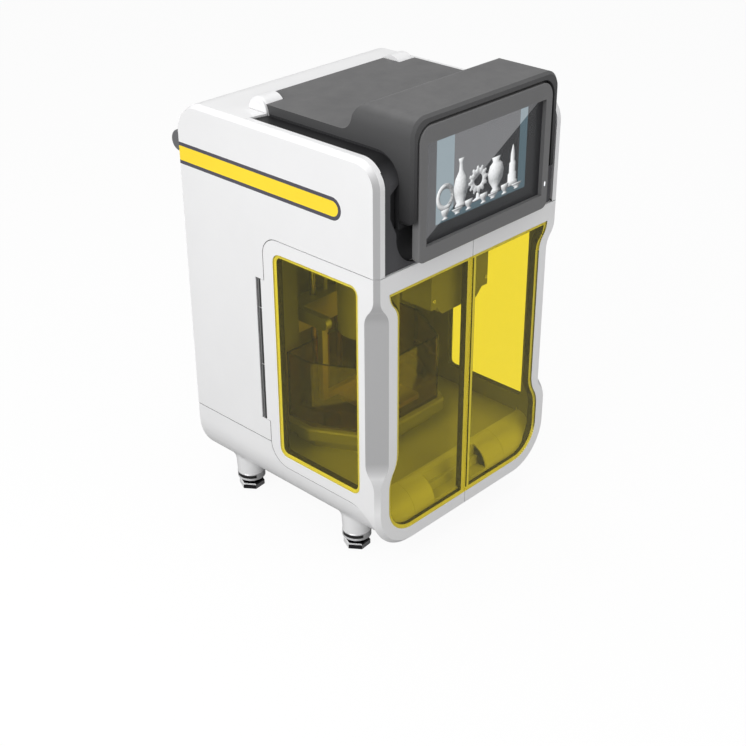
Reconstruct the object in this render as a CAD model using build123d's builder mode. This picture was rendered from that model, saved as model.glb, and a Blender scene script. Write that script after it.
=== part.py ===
"""Bench-top ceramic printer: a white body on four feet, an L-shaped amber door at each side, a hinged hood
with the screen, and a top-down light engine over a slurry vat with a dipping platform."""

from build123d import *
from math import asin, cos, degrees, radians, sqrt
import os

os.makedirs("parts", exist_ok=True)

# Millimetres. X is to the right, Y to the rear, and heights are from the floor. Y is zero at the body's middle
# while the pieces are drawn, and save() then moves them by frame_shift, so the origin is under the whole.
body_width = 500
body_depth = 500
body_bottom = 55
corner_radius = 104
edge_facet = 8.5
seam_gap = 1.5
clearance = 0.5
running_fit = 0.05
sheet = 3

# Lower shell, and the seam between it and the panels
shell_wall = 6
shell_rim = 15
skirt_seam = 191
locating_lip = 12

# White side panels, faceted in front and on top
shell_top = 829
panel_wall = 8.5
panel_flange = 20
flange_taper = 65
panel_front_radius = 48
panel_rear_radius = 62
stripe_height = 42
stripe_border = 7
stripe_middle = 727
stripe_front = -168.5
stripe_depth = 2
rim_thickness = 20

# Rear cover and handle
cover_wall = 4
cover_front = 122
handle_radius = 21
handle_reach = 50
handle_half = 212
handle_post_x = 150
handle_post_width = 44
handle_post_height = 34

# Doors: the side view is an L whose toe sweeps forward under the side window
door_top = 624.5
door_low = 150
door_bottom = 48
door_corner = 98
door_rear = 32
door_wall = 18
door_top_radius = 35
door_low_radius = 45
toe_radius = 60
toe_start = -179
tongue_low = 238
tongue_high = 536
tongue_reach = 42
slot_rear = 55.5
centre_gap = 0.75
pillar_facet = 30
pillar_low = 249
pillar_high = 533
pillar_blend = 52

# Door windows
pane_thickness = 5
pane_lip = 7
window_top = 589.5
window_bottom = 82
window_margin = 31
waist_margin = 52
waist_low = 260
waist_high = 535
waist_low_end = 189
window_corner = 64
side_window_front = -205
side_window_rear = 7
side_window_low = 174
side_window_high = 599
side_window_radius = 18
mullion_left = 9.5
mullion_right = 13.5
seal_width = 6.75

# Door hinges
hinge_inset = 6
hinge_y = 49
hinge_radius = 5
hinge_pin_radius = 2.5
hinge_knuckles = 5
hinge_leaf = 30
leaf_thickness = 2.5

# Hood: a flat lid, the raised screen housing and a round tail on the hinge line
hood_half = 193.5
lid_top = 845
lid_seam = 829
housing_top = 895
housing_front = -276
housing_corner = 33
rim_facet = 5
ramp_foot = -113
ramp_head = -166
hood_wall = 5
seam_front = -247
seam_radius = 50
hood_low = 708
hood_low_rise = 9
hood_low_radius = 12
hood_axis_y = 92
hood_axis_z = 827
tail_radius = 26.5
knuckle_radius = 27
knuckle_width = 44
knuckle_overhang = 1.5
knuckle_round = 8
knuckle_gap = 2.5
shoulder_front = 72.4
shoulder_inner = 66
hood_pin_radius = 5
hood_pin_grip = 27
tail_bore_radius = 12.5

# Screen in the hood's front
bezel_front = -277
bezel_back = -262
bezel_half = 176
bezel_low = 637.5
bezel_high = 877
bezel_low_radius = 14
bezel_high_radius = 28
bezel_groove = 5
back_plate = 4
screen_width = 315
screen_height = 181
screen_middle = 756
screen_depth = 8
glass_thickness = 3
module_rim = 5
status_x = 172
status_z = 686

# Fixed top under the hood
deck_rear = 61.5
frame_low = 607
frame_inset = 22
frame_front = -228
plate_low = 626
plate_high = 630
deck_step = 700
deck_recess = 14
trench_drop = 4
trench_groove_drop = 8
trench_under = 12
trench_inset = 24
pocket_upper_gap = 19.5
pocket_gap = 4.5
pocket_low = 628
pocket_radius = 55

# Chamber
floor_top = 141
floor_thickness = 6
floor_margin = 7
back_wall_y = 95
alcove_half = 108
alcove_rear = 190
sill_radius = 51
sill_cover_half = 135
sill_recess_half = 78

# Vat and its base
vat_half = 156
vat_front_half = 98
vat_rear = 82
vat_shoulder = 15
vat_front = -88
vat_bottom = 191
vat_rim = 333
vat_wall = 5
base_margin = 13
base_low = 167

# Vertical axis and platform
rod_x = 34
axis_y = 130
rod_radius = 6
screw_radius = 5
bracket_height = 16
carriage_low = 345
carriage_high = 400
carriage_front = 106
arm_x = -90
arm_width = 14
arm_front = 27
arm_height = 27
leg_y = 46
leg_depth = 12
bar_end = 10
platform_half = 55
platform_front = -75
platform_rear = 50
platform_top = 215
platform_thickness = 10

# Light engine
shroud_radius = 60
shroud_y = 10
shroud_low = 355
lens_radius = 40
box_half = 79
box_front = -220
box_rear = -150
box_low = 482
box_notch = 16

# Feet
foot_margin = 64.5
foot_front = -133
foot_rear = 173
hex_width = 46
hex_height = 11.5
hex_turn = 6
boss_low = 37
boss_radius = 28
boss_flare = 18
boss_core = 20
stud_radius = 8
collar_radius = 28.5
collar_low = 22
nut_radius = 21
nut_height = 6

half_width = body_width / 2
inner_x = half_width - panel_wall
front_y = -body_depth / 2
rear_y = body_depth / 2
handle_y = rear_y + handle_reach
hinge_x = half_width - hinge_inset
window_side = half_width - window_margin
window_waist = half_width - waist_margin
frame_half = half_width - frame_inset
floor_half = inner_x - floor_margin
trench_outer = half_width - trench_inset
pocket_upper = hood_half + pocket_upper_gap
pocket_half = hood_half + pocket_gap
knuckle_outer = hood_half + knuckle_overhang
knuckle_inner = knuckle_outer - knuckle_width
hood_pin_start = knuckle_inner - hood_pin_grip
hood_pin_end = knuckle_inner + hood_pin_grip
foot_x = half_width - foot_margin
shell_front = toe_start - toe_radius + seam_gap
foot_places = [(x, y) for x in (-foot_x, foot_x) for y in (foot_front, foot_rear)]
frame_shift = -(handle_y + handle_radius + bezel_front) / 2


def save(piece, name):
    """Moves a finished piece to the shared frame, names it and writes it."""
    placed = piece.part.moved(Location((0, frame_shift, 0)))
    placed.label = name
    export_step(placed, f"parts/{name}.step")


def at_y(y):
    """Plane that faces the front, with X to the right and Z up."""
    return Plane.XZ.offset(-y)


def at_x(x):
    """Plane that faces right, with Y across and Z up."""
    return Plane.YZ.offset(x)


def mirrored(piece):
    """The same piece for the other side of the machine."""
    with BuildPart() as other:
        mirror(piece.part, about=Plane.YZ)
    return other


def both_sides(piece):
    """A piece and its mirror image."""
    with BuildPart() as pair:
        add(piece.part)
        mirror(piece.part, about=Plane.YZ)
    return pair


def s_bend(start, end, heading):
    """Two equal arcs that leave and arrive in the same direction."""
    middle = ((start[0] + end[0]) / 2, (start[1] + end[1]) / 2)
    first = TangentArc(start, middle, tangent=heading)
    TangentArc(middle, end, tangent=first % 1)


def block(plane, left, right, low, high, depth, mode=Mode.ADD):
    """Rectangular stretch between two pairs of lines of a plane, as deep as given."""
    with BuildSketch(plane) as outline:
        with Locations(((left + right) / 2, (low + high) / 2)):
            Rectangle(right - left, high - low)
    extrude(outline.sketch, amount=depth, mode=mode)


def tub(plane, inset, top, depth, mode=Mode.ADD, bottom=body_bottom, corner=corner_radius):
    """Front view of the body: upright sides and two large bottom corners."""
    half = half_width - inset
    low = bottom + inset
    bend = corner - inset
    with BuildSketch(plane) as outline:
        with BuildLine():
            Polyline((-half, low + bend), (-half, top), (half, top), (half, low + bend))
            CenterArc((half - bend, low + bend), bend, -90, 90)
            Line((half - bend, low), (bend - half, low))
            CenterArc((bend - half, low + bend), bend, 180, 90)
        make_face()
    extrude(outline.sketch, amount=depth, mode=mode)


def door_side(plane, gap, reach, depth, mode=Mode.ADD):
    """Side view of a door with its hinge tongue and the toe."""
    over = 12
    rear = door_rear + gap
    top = door_top + gap
    low = door_low - gap
    toe = toe_radius - gap
    toe_height = door_low - toe_radius
    top_bend = door_top_radius + gap
    low_bend = door_low_radius + gap
    with BuildSketch(plane) as outline:
        with BuildLine():
            Polyline(
                (toe_start - toe, toe_height),
                (toe_start - toe, body_bottom - over),
                (front_y - over, body_bottom - over),
                (front_y - over, top),
                (rear - top_bend, top),
            )
            CenterArc((rear - top_bend, top - top_bend), top_bend, 0, 90)
            Polyline(
                (rear, top - top_bend),
                (rear, tongue_high + gap / 2),
                (reach, tongue_high + gap / 2),
                (reach, tongue_low - gap / 2),
                (rear, tongue_low - gap / 2),
                (rear, low + low_bend),
            )
            CenterArc((rear - low_bend, low + low_bend), low_bend, -90, 90)
            Line((rear - low_bend, low), (toe_start, low))
            CenterArc((toe_start, toe_height), toe, 90, 90)
        make_face()
    extrude(outline.sketch, amount=depth, mode=mode)


def front_window(plane, inset, centre, depth, mode=Mode.ADD):
    """Left half of the front window: waisted side, large bottom corner, straight edge beside the middle."""
    side = inset - window_side
    waist = inset - window_waist
    top = window_top - inset
    bottom = window_bottom + inset
    bend = window_corner - inset
    with BuildSketch(plane) as outline:
        with BuildLine():
            Polyline((side + bend, bottom), (-centre, bottom), (-centre, top), (side, top))
            s_bend((side, top), (waist, waist_high), (0, -1))
            Line((waist, waist_high), (waist, waist_low))
            s_bend((waist, waist_low), (side, waist_low_end), (0, -1))
            Line((side, waist_low_end), (side, bottom + bend))
            CenterArc((side + bend, bottom + bend), bend, 180, 90)
        make_face()
    extrude(outline.sketch, amount=depth, mode=mode)


def side_window(plane, inset, depth, mode=Mode.ADD):
    """Rounded side window."""
    with BuildSketch(plane) as outline:
        with Locations(((side_window_front + side_window_rear) / 2, (side_window_low + side_window_high) / 2)):
            RectangleRounded(
                side_window_rear - side_window_front - 2 * inset,
                side_window_high - side_window_low - 2 * inset,
                side_window_radius - inset,
            )
    extrude(outline.sketch, amount=depth, mode=mode)


def between_panels(plane, depth, mode=Mode.ADD):
    """Plan of the space between the two side panels, narrower at their front flanges."""
    flange_x = half_width - panel_flange
    with BuildSketch(plane) as outline:
        Polygon(
            (-flange_x, front_y - 9),
            (-flange_x, front_y),
            (-inner_x, front_y + flange_taper),
            (-inner_x, rear_y + 9),
            (inner_x, rear_y + 9),
            (inner_x, front_y + flange_taper),
            (flange_x, front_y),
            (flange_x, front_y - 9),
            align=None,
        )
    extrude(outline.sketch, amount=depth, mode=mode)


# Lower shell

ledge_height = 8
ledge_width = 13

with BuildPart() as shell_void:
    tub(at_y(rear_y - shell_wall), shell_wall, skirt_seam, body_depth)
    ledge_low = floor_top - floor_thickness - ledge_height
    block(Plane.XY, -half_width, half_width, -body_depth, body_depth, ledge_low, Mode.INTERSECT)

with BuildPart() as lower_shell:
    tub(at_y(rear_y), 0, skirt_seam, rear_y - shell_front)
    with BuildSketch(Plane.XY.offset(boss_low)):
        with Locations(*foot_places):
            Circle(boss_radius)
    extrude(amount=body_bottom + 45 - boss_low, taper=-3)
    fillet(edges().filter_by(lambda edge: edge.geom_type not in (GeomType.LINE, GeomType.CIRCLE)), boss_flare)
    add(shell_void.part, mode=Mode.SUBTRACT)
    block(
        Plane.XY.offset(ledge_low - 9),
        shell_rim - half_width + ledge_width,
        half_width - shell_rim - ledge_width,
        front_y,
        rear_y - shell_wall - ledge_width,
        skirt_seam,
        Mode.SUBTRACT,
    )
    block(
        Plane.XY.offset(floor_top - floor_thickness),
        shell_rim - half_width,
        half_width - shell_rim,
        front_y,
        rear_y - shell_wall,
        skirt_seam,
        Mode.SUBTRACT,
    )
    tub(at_y(toe_start - 7), shell_wall, skirt_seam + 1, body_depth, Mode.SUBTRACT)
    for side in (-1, 1):
        block(
            Plane.XY.offset(skirt_seam - 9),
            min(side * inner_x, side * (half_width - shell_rim)),
            max(side * inner_x, side * (half_width - shell_rim)),
            slot_rear,
            rear_y - shell_wall,
            9 + locating_lip,
        )
    door_side(at_x(-half_width), seam_gap, slot_rear, body_width, Mode.SUBTRACT)
    with BuildSketch(Plane.XY.offset(body_bottom + 10)):
        with Locations(*foot_places):
            Circle(boss_core)
    extrude(amount=27)
    with BuildSketch(Plane.XY.offset(boss_low)):
        with Locations(*foot_places):
            Circle(stud_radius + running_fit)
    extrude(amount=body_bottom + 30 - boss_low, mode=Mode.SUBTRACT)
save(lower_shell, "lower_shell")

# Side panels, with the recess for the stripe


def panel_outline(plane, inset):
    """Side view of a side panel, set in from its front and top but not from its rear edge."""
    top = shell_top - inset
    front = front_y + inset
    front_bend = panel_front_radius - inset
    rear_bend = panel_rear_radius - inset
    with BuildSketch(plane) as outline:
        with BuildLine():
            Polyline(
                (rear_y, top - rear_bend),
                (rear_y, skirt_seam + seam_gap),
                (front, skirt_seam + seam_gap),
                (front, top - front_bend),
            )
            CenterArc((front + front_bend, top - front_bend), front_bend, 90, 90)
            Line((front + front_bend, top), (rear_y - rear_bend, top))
            CenterArc((rear_y - rear_bend, top - rear_bend), rear_bend, 0, 90)
        make_face()
    return outline.sketch


def stripe_band(inset, mode=Mode.ADD):
    """The stripe's outline in the side face: round in front and open to the rear."""
    radius = stripe_height / 2 - inset
    nose = stripe_front + stripe_height / 2
    with BuildSketch(at_x(-half_width)) as band:
        with Locations((nose, stripe_middle)):
            Circle(radius)
        with Locations(((nose + rear_y) / 2, stripe_middle)):
            Rectangle(rear_y - nose, 2 * radius)
    extrude(band.sketch, amount=stripe_depth, mode=mode)


with BuildPart() as side_panel_left:
    panel_full = panel_outline(at_x(edge_facet - half_width), 0)
    loft((panel_outline(at_x(-half_width), edge_facet), panel_full), ruled=True)
    extrude(panel_full, amount=panel_flange - edge_facet)
    between_panels(Plane.XY.offset(skirt_seam), shell_top - rim_thickness - skirt_seam, Mode.SUBTRACT)
    block(Plane.XY.offset(skirt_seam), -inner_x, inner_x, shoulder_front, rear_y + 9, shell_top, Mode.SUBTRACT)
    door_side(at_x(-half_width), seam_gap, slot_rear, panel_flange, Mode.SUBTRACT)
    stripe_band(0, Mode.SUBTRACT)
save(side_panel_left, "side_panel_left")
save(mirrored(side_panel_left), "side_panel_right")

with BuildPart() as stripe_left:
    stripe_band(stripe_border)
save(both_sides(stripe_left), "stripes")

with BuildPart() as border_left:
    stripe_band(0)
    add(stripe_left.part, mode=Mode.SUBTRACT)
save(both_sides(border_left), "stripe_borders")

# Rear cover with the hood's knuckles, and what passes through it

inlet_x = -150
inlet_z = 250
inlet_width = 48
inlet_height = 28
switch_x = -95
switch_width = 14
switch_height = 22
fan_x = 130
fan_z = 470
fan_size = 120
fan_depth = 25
fan_hub = 20

with BuildPart() as knuckle:
    with BuildSketch(Plane.XY.offset(hood_axis_z)):
        with BuildLine():
            Polyline(
                (knuckle_round - knuckle_outer, hood_axis_y + knuckle_radius),
                (-knuckle_inner, hood_axis_y + knuckle_radius),
                (-knuckle_inner, hood_axis_y),
                (-knuckle_outer, hood_axis_y),
                (-knuckle_outer, hood_axis_y + knuckle_radius - knuckle_round),
            )
            CenterArc(
                (knuckle_round - knuckle_outer, hood_axis_y + knuckle_radius - knuckle_round), knuckle_round, 90, 90
            )
        make_face()
    revolve(axis=Axis((0, hood_axis_y, hood_axis_z), (1, 0, 0)))
    block(
        at_x(-knuckle_outer + knuckle_round),
        hood_axis_y,
        cover_front + 3,
        hood_axis_z - knuckle_radius,
        shell_top,
        knuckle_outer - knuckle_round - knuckle_inner,
    )
    with BuildSketch(Plane.XY.offset(shell_top - cover_wall)):
        Polygon(
            (-inner_x, shoulder_front + clearance),
            (-half_width + panel_flange, shoulder_front + clearance),
            (-hood_half, shoulder_inner + clearance),
            (-hood_half, hood_axis_y),
            (-knuckle_inner, hood_axis_y),
            (-knuckle_inner, cover_front + 3),
            (-inner_x, cover_front + 3),
            align=None,
        )
    extrude(amount=cover_wall)

with BuildPart() as rear_cover:
    bend_y = rear_y - panel_rear_radius
    bend_z = shell_top - panel_rear_radius
    with BuildSketch(at_x(-inner_x)):
        with BuildLine():
            Line((cover_front, shell_top), (bend_y, shell_top))
            CenterArc((bend_y, bend_z), panel_rear_radius, 0, 90)
            Polyline(
                (rear_y, bend_z),
                (rear_y, skirt_seam),
                (rear_y - cover_wall, skirt_seam),
                (rear_y - cover_wall, bend_z),
            )
            CenterArc((bend_y, bend_z), panel_rear_radius - cover_wall, 0, 90)
            Line((bend_y, shell_top - cover_wall), (cover_front, shell_top - cover_wall))
            Line((cover_front, shell_top - cover_wall), (cover_front, shell_top))
        make_face()
    extrude(amount=2 * inner_x)
    add(both_sides(knuckle).part)
    with BuildSketch(at_x(-hood_pin_end)):
        with Locations((hood_axis_y, hood_axis_z)):
            Circle(hood_pin_radius)
    extrude(amount=2 * hood_pin_end, mode=Mode.SUBTRACT)
    block(
        at_y(rear_y + 1),
        inlet_x - inlet_width / 2,
        inlet_x + inlet_width / 2,
        inlet_z - inlet_height / 2,
        inlet_z + inlet_height / 2,
        cover_wall + 2,
        Mode.SUBTRACT,
    )
    block(
        at_y(rear_y + 1),
        switch_x - switch_width / 2,
        switch_x + switch_width / 2,
        inlet_z - switch_height / 2,
        inlet_z + switch_height / 2,
        cover_wall + 2,
        Mode.SUBTRACT,
    )
    with BuildSketch(at_y(rear_y + 1)):
        with Locations((fan_x, fan_z)):
            with GridLocations(0, 11, 1, 9):
                SlotOverall(96, 6)
        with Locations((fan_x, fan_z)):
            Circle(54, mode=Mode.INTERSECT)
        with Locations((-fan_x, fan_z)):
            with GridLocations(0, 11, 1, 9):
                SlotOverall(84, 6)
    extrude(amount=cover_wall + 2, mode=Mode.SUBTRACT)
save(rear_cover, "rear_cover")

# Channel behind the lid, round the hood's tail

with BuildPart() as tail_channel:
    outer = tail_radius + clearance * 2 + 2.5
    inner = tail_radius + clearance * 2
    flange_z = shell_top - cover_wall
    with BuildSketch(at_x(-knuckle_inner)):
        with Locations((hood_axis_y, hood_axis_z)):
            Circle(outer)
            Circle(inner, mode=Mode.SUBTRACT)
        with Locations((hood_axis_y, flange_z + outer)):
            Rectangle(4 * outer, 2 * outer, mode=Mode.SUBTRACT)
        with Locations((hood_axis_y - outer, hood_axis_z)):
            Rectangle(2 * outer - 6, 4 * outer, mode=Mode.SUBTRACT)
        with Locations((cover_front + 6, flange_z - 1.5)):
            Rectangle(17, 3)
        with Locations((hood_axis_y, hood_axis_z)):
            Circle(inner, mode=Mode.SUBTRACT)
    extrude(amount=2 * knuckle_inner)
save(tail_channel, "tail_channel")

# Frame under the hood that ties the panels, the deck on it, and the dark linings beside the hood

with BuildPart() as mid_frame:
    plate_front = front_y + trench_under + clearance
    block(Plane.XY.offset(plate_low), -inner_x, inner_x, plate_front, rear_y - cover_wall, plate_high - plate_low)
    between_panels(Plane.XY.offset(plate_low), plate_high - plate_low, Mode.INTERSECT)
    block(Plane.XY.offset(frame_low), -frame_half, frame_half, frame_front, rear_y - cover_wall, plate_low - frame_low)
    with BuildSketch(Plane.XY.offset(frame_low)):
        with Locations((0, shroud_y)):
            Circle(lens_radius + 4)
        with Locations((0, axis_y)):
            Circle(14)
        with Locations((-150, 200), (150, 200)):
            RectangleRounded(90, 46, 10)
    extrude(amount=plate_high - frame_low, mode=Mode.SUBTRACT)
save(mid_frame, "mid_frame")


def deck_profile(inset, mode=Mode.ADD):
    """Side view of the deck, with the rounded front that the hood follows."""
    rear = deck_rear - inset
    top = lid_seam - clearance - inset
    front = seam_front + clearance + inset
    bend = seam_radius - clearance - inset
    with BuildSketch(at_x(inset - hood_half)) as outline:
        with BuildLine():
            Polyline(
                (front, top - bend),
                (front, deck_step + inset),
                (front + deck_recess, deck_step + inset),
                (front + deck_recess, plate_high),
                (rear, plate_high),
                (rear, top),
                (front + bend, top),
            )
            CenterArc((front + bend, top - bend), bend, 90, 90)
        make_face()
    extrude(outline.sketch, amount=2 * (hood_half - inset), mode=mode)


hatch_half = 120
hatch_front = -90
hatch_rear = 40

with BuildPart() as deck:
    deck_profile(0)
    deck_profile(sheet, Mode.SUBTRACT)
    block(
        Plane.XY.offset(lid_seam - clearance - 2 * sheet),
        12 - hatch_half,
        hatch_half - 12,
        hatch_front + 12,
        hatch_rear - 12,
        3 * sheet,
        Mode.SUBTRACT,
    )
save(deck, "deck")

with BuildPart() as deck_hatch:
    with BuildSketch(Plane.XY.offset(lid_seam - clearance)):
        with Locations((0, (hatch_front + hatch_rear) / 2)):
            RectangleRounded(2 * hatch_half, hatch_rear - hatch_front, 8)
            with GridLocations(22, 0, 8, 1):
                SlotOverall(76, 8, rotation=90, mode=Mode.SUBTRACT)
    extrude(amount=2)
save(deck_hatch, "deck_hatch")


with BuildPart() as front_liner:
    liner_half = half_width - panel_flange - 2
    with BuildSketch(at_y(front_y + trench_under + clearance + sheet)):
        Polygon(
            (-liner_half, plate_high),
            (liner_half, plate_high),
            (liner_half, 775),
            (hood_half + 1, 775),
            (hood_half + 1, deck_step - 1),
            (-hood_half - 1, deck_step - 1),
            (-hood_half - 1, 775),
            (-liner_half, 775),
            align=None,
        )
    extrude(amount=sheet)
save(front_liner, "front_liner")


def trench_skin(drop, left, right):
    """Skin that lies a drop under the side panel's outline, on top and round the front, between two widths."""
    bend_y = front_y + panel_front_radius
    bend_z = shell_top - panel_front_radius
    outer = panel_front_radius - drop
    inner = panel_front_radius - trench_under
    with BuildSketch(at_x(left)) as outline:
        with BuildLine():
            Polyline(
                (bend_y, bend_z + inner),
                (shoulder_front, bend_z + inner),
                (shoulder_front, bend_z + outer),
                (bend_y, bend_z + outer),
            )
            CenterArc((bend_y, bend_z), outer, 90, 90)
            Polyline(
                (bend_y - outer, bend_z),
                (bend_y - outer, plate_low),
                (bend_y - inner, plate_low),
                (bend_y - inner, bend_z),
            )
            CenterArc((bend_y, bend_z), inner, 90, 90)
        make_face()
    extrude(outline.sketch, amount=right - left)


with BuildPart() as trench:
    trench_skin(trench_groove_drop, panel_flange + clearance - half_width, -trench_outer)
    trench_skin(trench_drop, -trench_outer, pocket_radius - pocket_half - 6)
    with BuildSketch(at_y(shoulder_front + 9)):
        with BuildLine():
            Polyline(
                (pocket_radius - pocket_half, pocket_low),
                (0, pocket_low),
                (0, shell_top + 9),
                (-hood_half, shell_top + 9),
                (-hood_half, 780),
                (-pocket_upper, 766),
                (-pocket_upper, 724),
                (-pocket_half, 692),
                (-pocket_half, pocket_low + pocket_radius),
            )
            CenterArc((pocket_radius - pocket_half, pocket_low + pocket_radius), pocket_radius, 180, 90)
        make_face()
    extrude(amount=body_depth, mode=Mode.SUBTRACT)
    with BuildSketch(Plane.XY.offset(plate_low)):
        Polygon(
            (-half_width, shoulder_front),
            (panel_flange - half_width, shoulder_front),
            (-hood_half, shoulder_inner),
            (-hood_half + 9, shoulder_inner),
            (-hood_half + 9, rear_y),
            (-half_width, rear_y),
            align=None,
        )
    extrude(amount=shell_top, mode=Mode.SUBTRACT)
save(both_sides(trench), "trench")

# Doors

hinge_step = (tongue_high - tongue_low) / hinge_knuckles


def hinge_barrels(chosen, bore):
    """Chosen knuckles of a left door hinge, each with its neck, then the bore through all of them."""
    for index in chosen:
        low = tongue_low + index * hinge_step + clearance
        with BuildSketch(Plane.XY.offset(low)) as knuckle:
            with Locations((-hinge_x, hinge_y)):
                Circle(hinge_radius)
            if bore > hinge_pin_radius:
                with Locations((-hinge_x - hinge_radius / 2, (hinge_y + tongue_reach) / 2)):
                    Rectangle(hinge_radius, hinge_y - tongue_reach)
            else:
                with Locations((leaf_thickness / 2 - inner_x, (hinge_y + slot_rear) / 2 + clearance)):
                    Rectangle(leaf_thickness, slot_rear - hinge_y + 2 * clearance)
        extrude(knuckle.sketch, amount=hinge_step - 2 * clearance)
    with BuildSketch(Plane.XY.offset(tongue_low)) as hole:
        with Locations((-hinge_x, hinge_y)):
            Circle(bore)
    extrude(hole.sketch, amount=tongue_high - tongue_low, mode=Mode.SUBTRACT)


def door_frame(opening_start, seal_slot):
    """Left door frame. Its window opening starts opening_start from the middle, behind the pane."""
    with BuildPart() as frame:
        tub(at_y(tongue_reach), 0, door_top, tongue_reach - front_y, bottom=door_bottom, corner=door_corner)
        front_face = faces().sort_by(Axis.Y)[0]
        chamfer(front_face.edges().filter_by(lambda edge: edge.center().Z < door_top - 1), edge_facet)
        facing = Plane(origin=(-half_width, front_y, 0), x_dir=(-1, -1, 0), z_dir=(-1, 1, 0))
        shallow = -edge_facet / sqrt(2)
        deep = -pillar_facet / sqrt(2)
        with BuildSketch(facing):
            with BuildLine():
                Polyline((shallow, pillar_low - pillar_blend), (9, pillar_low - pillar_blend))
                Polyline((9, pillar_low - pillar_blend), (9, pillar_high + pillar_blend))
                Line((9, pillar_high + pillar_blend), (shallow, pillar_high + pillar_blend))
                s_bend((shallow, pillar_high + pillar_blend), (deep, pillar_high), (0, -1))
                Line((deep, pillar_high), (deep, pillar_low))
                s_bend((deep, pillar_low), (shallow, pillar_low - pillar_blend), (0, -1))
            make_face()
        extrude(amount=90, both=True, mode=Mode.SUBTRACT)
        block(
            Plane.XY.offset(body_bottom - 9),
            door_wall - half_width,
            half_width,
            front_y + door_wall,
            tongue_reach + 9,
            door_top,
            Mode.SUBTRACT,
        )
        block(at_y(rear_y), -centre_gap, half_width, body_bottom - 9, door_top + 9, body_depth + 9, Mode.SUBTRACT)
        door_side(at_x(-half_width - 1), 0, tongue_reach, half_width + 2, Mode.INTERSECT)
        front_window(at_y(front_y + pane_thickness), 0, centre_gap, pane_thickness + 1, Mode.SUBTRACT)
        front_window(at_y(front_y + door_wall + 1), pane_lip, opening_start, door_wall + 2, Mode.SUBTRACT)
        side_window(at_x(-half_width - 1), 0, pane_thickness + 1, Mode.SUBTRACT)
        side_window(at_x(-half_width), pane_lip, door_wall + 1, Mode.SUBTRACT)
        if seal_slot:
            block(
                at_y(front_y + door_wall + 1),
                -centre_gap - seal_width,
                -centre_gap,
                window_bottom + pane_lip,
                window_top - pane_lip,
                door_wall + 1 - pane_thickness,
                Mode.SUBTRACT,
            )
        hinge_barrels((1, 3), hinge_pin_radius + running_fit)
    return frame


save(door_frame(mullion_left, False), "door_frame_left")
save(mirrored(door_frame(mullion_right, True)), "door_frame_right")

with BuildPart() as front_pane_left:
    front_window(at_y(front_y + pane_thickness), 0, centre_gap, pane_thickness)
save(front_pane_left, "front_pane_left")
save(mirrored(front_pane_left), "front_pane_right")

with BuildPart() as side_pane_left:
    side_window(at_x(-half_width), 0, pane_thickness)
save(side_pane_left, "side_pane_left")
save(mirrored(side_pane_left), "side_pane_right")

with BuildPart() as centre_seal:
    block(
        at_y(front_y + pane_thickness + 6),
        centre_gap,
        centre_gap + seal_width,
        window_bottom + pane_lip,
        window_top - pane_lip,
        6,
    )
save(centre_seal, "centre_seal")

with BuildPart() as hinge_bracket:
    block(
        Plane.XY.offset(tongue_low + clearance),
        -inner_x,
        leaf_thickness - inner_x,
        slot_rear + clearance,
        slot_rear + hinge_leaf,
        tongue_high - tongue_low - 2 * clearance,
    )
    hinge_barrels((0, 2, 4), hinge_pin_radius)
save(both_sides(hinge_bracket), "hinge_brackets")

with BuildPart() as hinge_pin:
    with BuildSketch(Plane.XY.offset(tongue_low + clearance)):
        with Locations((-hinge_x, hinge_y)):
            Circle(hinge_pin_radius)
    extrude(amount=tongue_high - tongue_low - 2 * clearance)
save(both_sides(hinge_pin), "hinge_pins")

# Hood


def hood_front(plane, inset, low, depth, mode):
    """Front view of the hood, kept or cut: rounded top corners and smaller ones below."""
    half = hood_half - inset
    top = housing_top - inset
    bend = housing_corner - inset
    foot = hood_low_radius
    with BuildSketch(plane) as outline:
        with BuildLine():
            Polyline((-half, top - bend), (-half, low + foot))
            CenterArc((foot - half, low + foot), foot, 180, 90)
            Line((foot - half, low), (half - foot, low))
            CenterArc((half - foot, low + foot), foot, -90, 90)
            Line((half, low + foot), (half, top - bend))
            CenterArc((half - bend, top - bend), bend, 0, 90)
            Line((half - bend, top), (bend - half, top))
            CenterArc((bend - half, top - bend), bend, 90, 90)
        make_face()
    extrude(outline.sketch, amount=depth, mode=mode)


with BuildPart() as hood_void:
    with BuildSketch(at_x(hood_wall - hood_half)):
        with BuildLine():
            Polyline(
                (seam_front + seam_radius, lid_seam + hood_wall),
                (seam_front + seam_radius, lid_seam - 9),
                (deck_rear, lid_seam - 9),
                (deck_rear, lid_top - hood_wall),
                (ramp_foot - 3, lid_top - hood_wall),
            )
            s_bend((ramp_foot - 3, lid_top - hood_wall), (ramp_head - 3, housing_top - hood_wall), (-1, 0))
            Polyline(
                (ramp_head - 3, housing_top - hood_wall),
                (bezel_back + back_plate, housing_top - hood_wall),
                (bezel_back + back_plate, hood_low + hood_wall),
                (seam_front - hood_wall, hood_low + hood_wall),
                (seam_front - hood_wall, lid_seam - seam_radius),
            )
            CenterArc((seam_front + seam_radius, lid_seam - seam_radius), seam_radius + hood_wall, 90, 90)
        make_face()
    extrude(amount=2 * (hood_half - hood_wall))
    hood_front(at_y(rear_y), hood_wall, hood_low, 2 * body_depth, Mode.INTERSECT)

tail_meet_y = hood_axis_y - sqrt(tail_radius**2 - (lid_seam - hood_axis_z) ** 2)
tail_top_angle = degrees(asin((lid_top - hood_axis_z) / tail_radius))
tail_low_angle = 180 - degrees(asin((lid_seam - hood_axis_z) / tail_radius))
tail_top_y = hood_axis_y + tail_radius * cos(radians(tail_top_angle))

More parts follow.
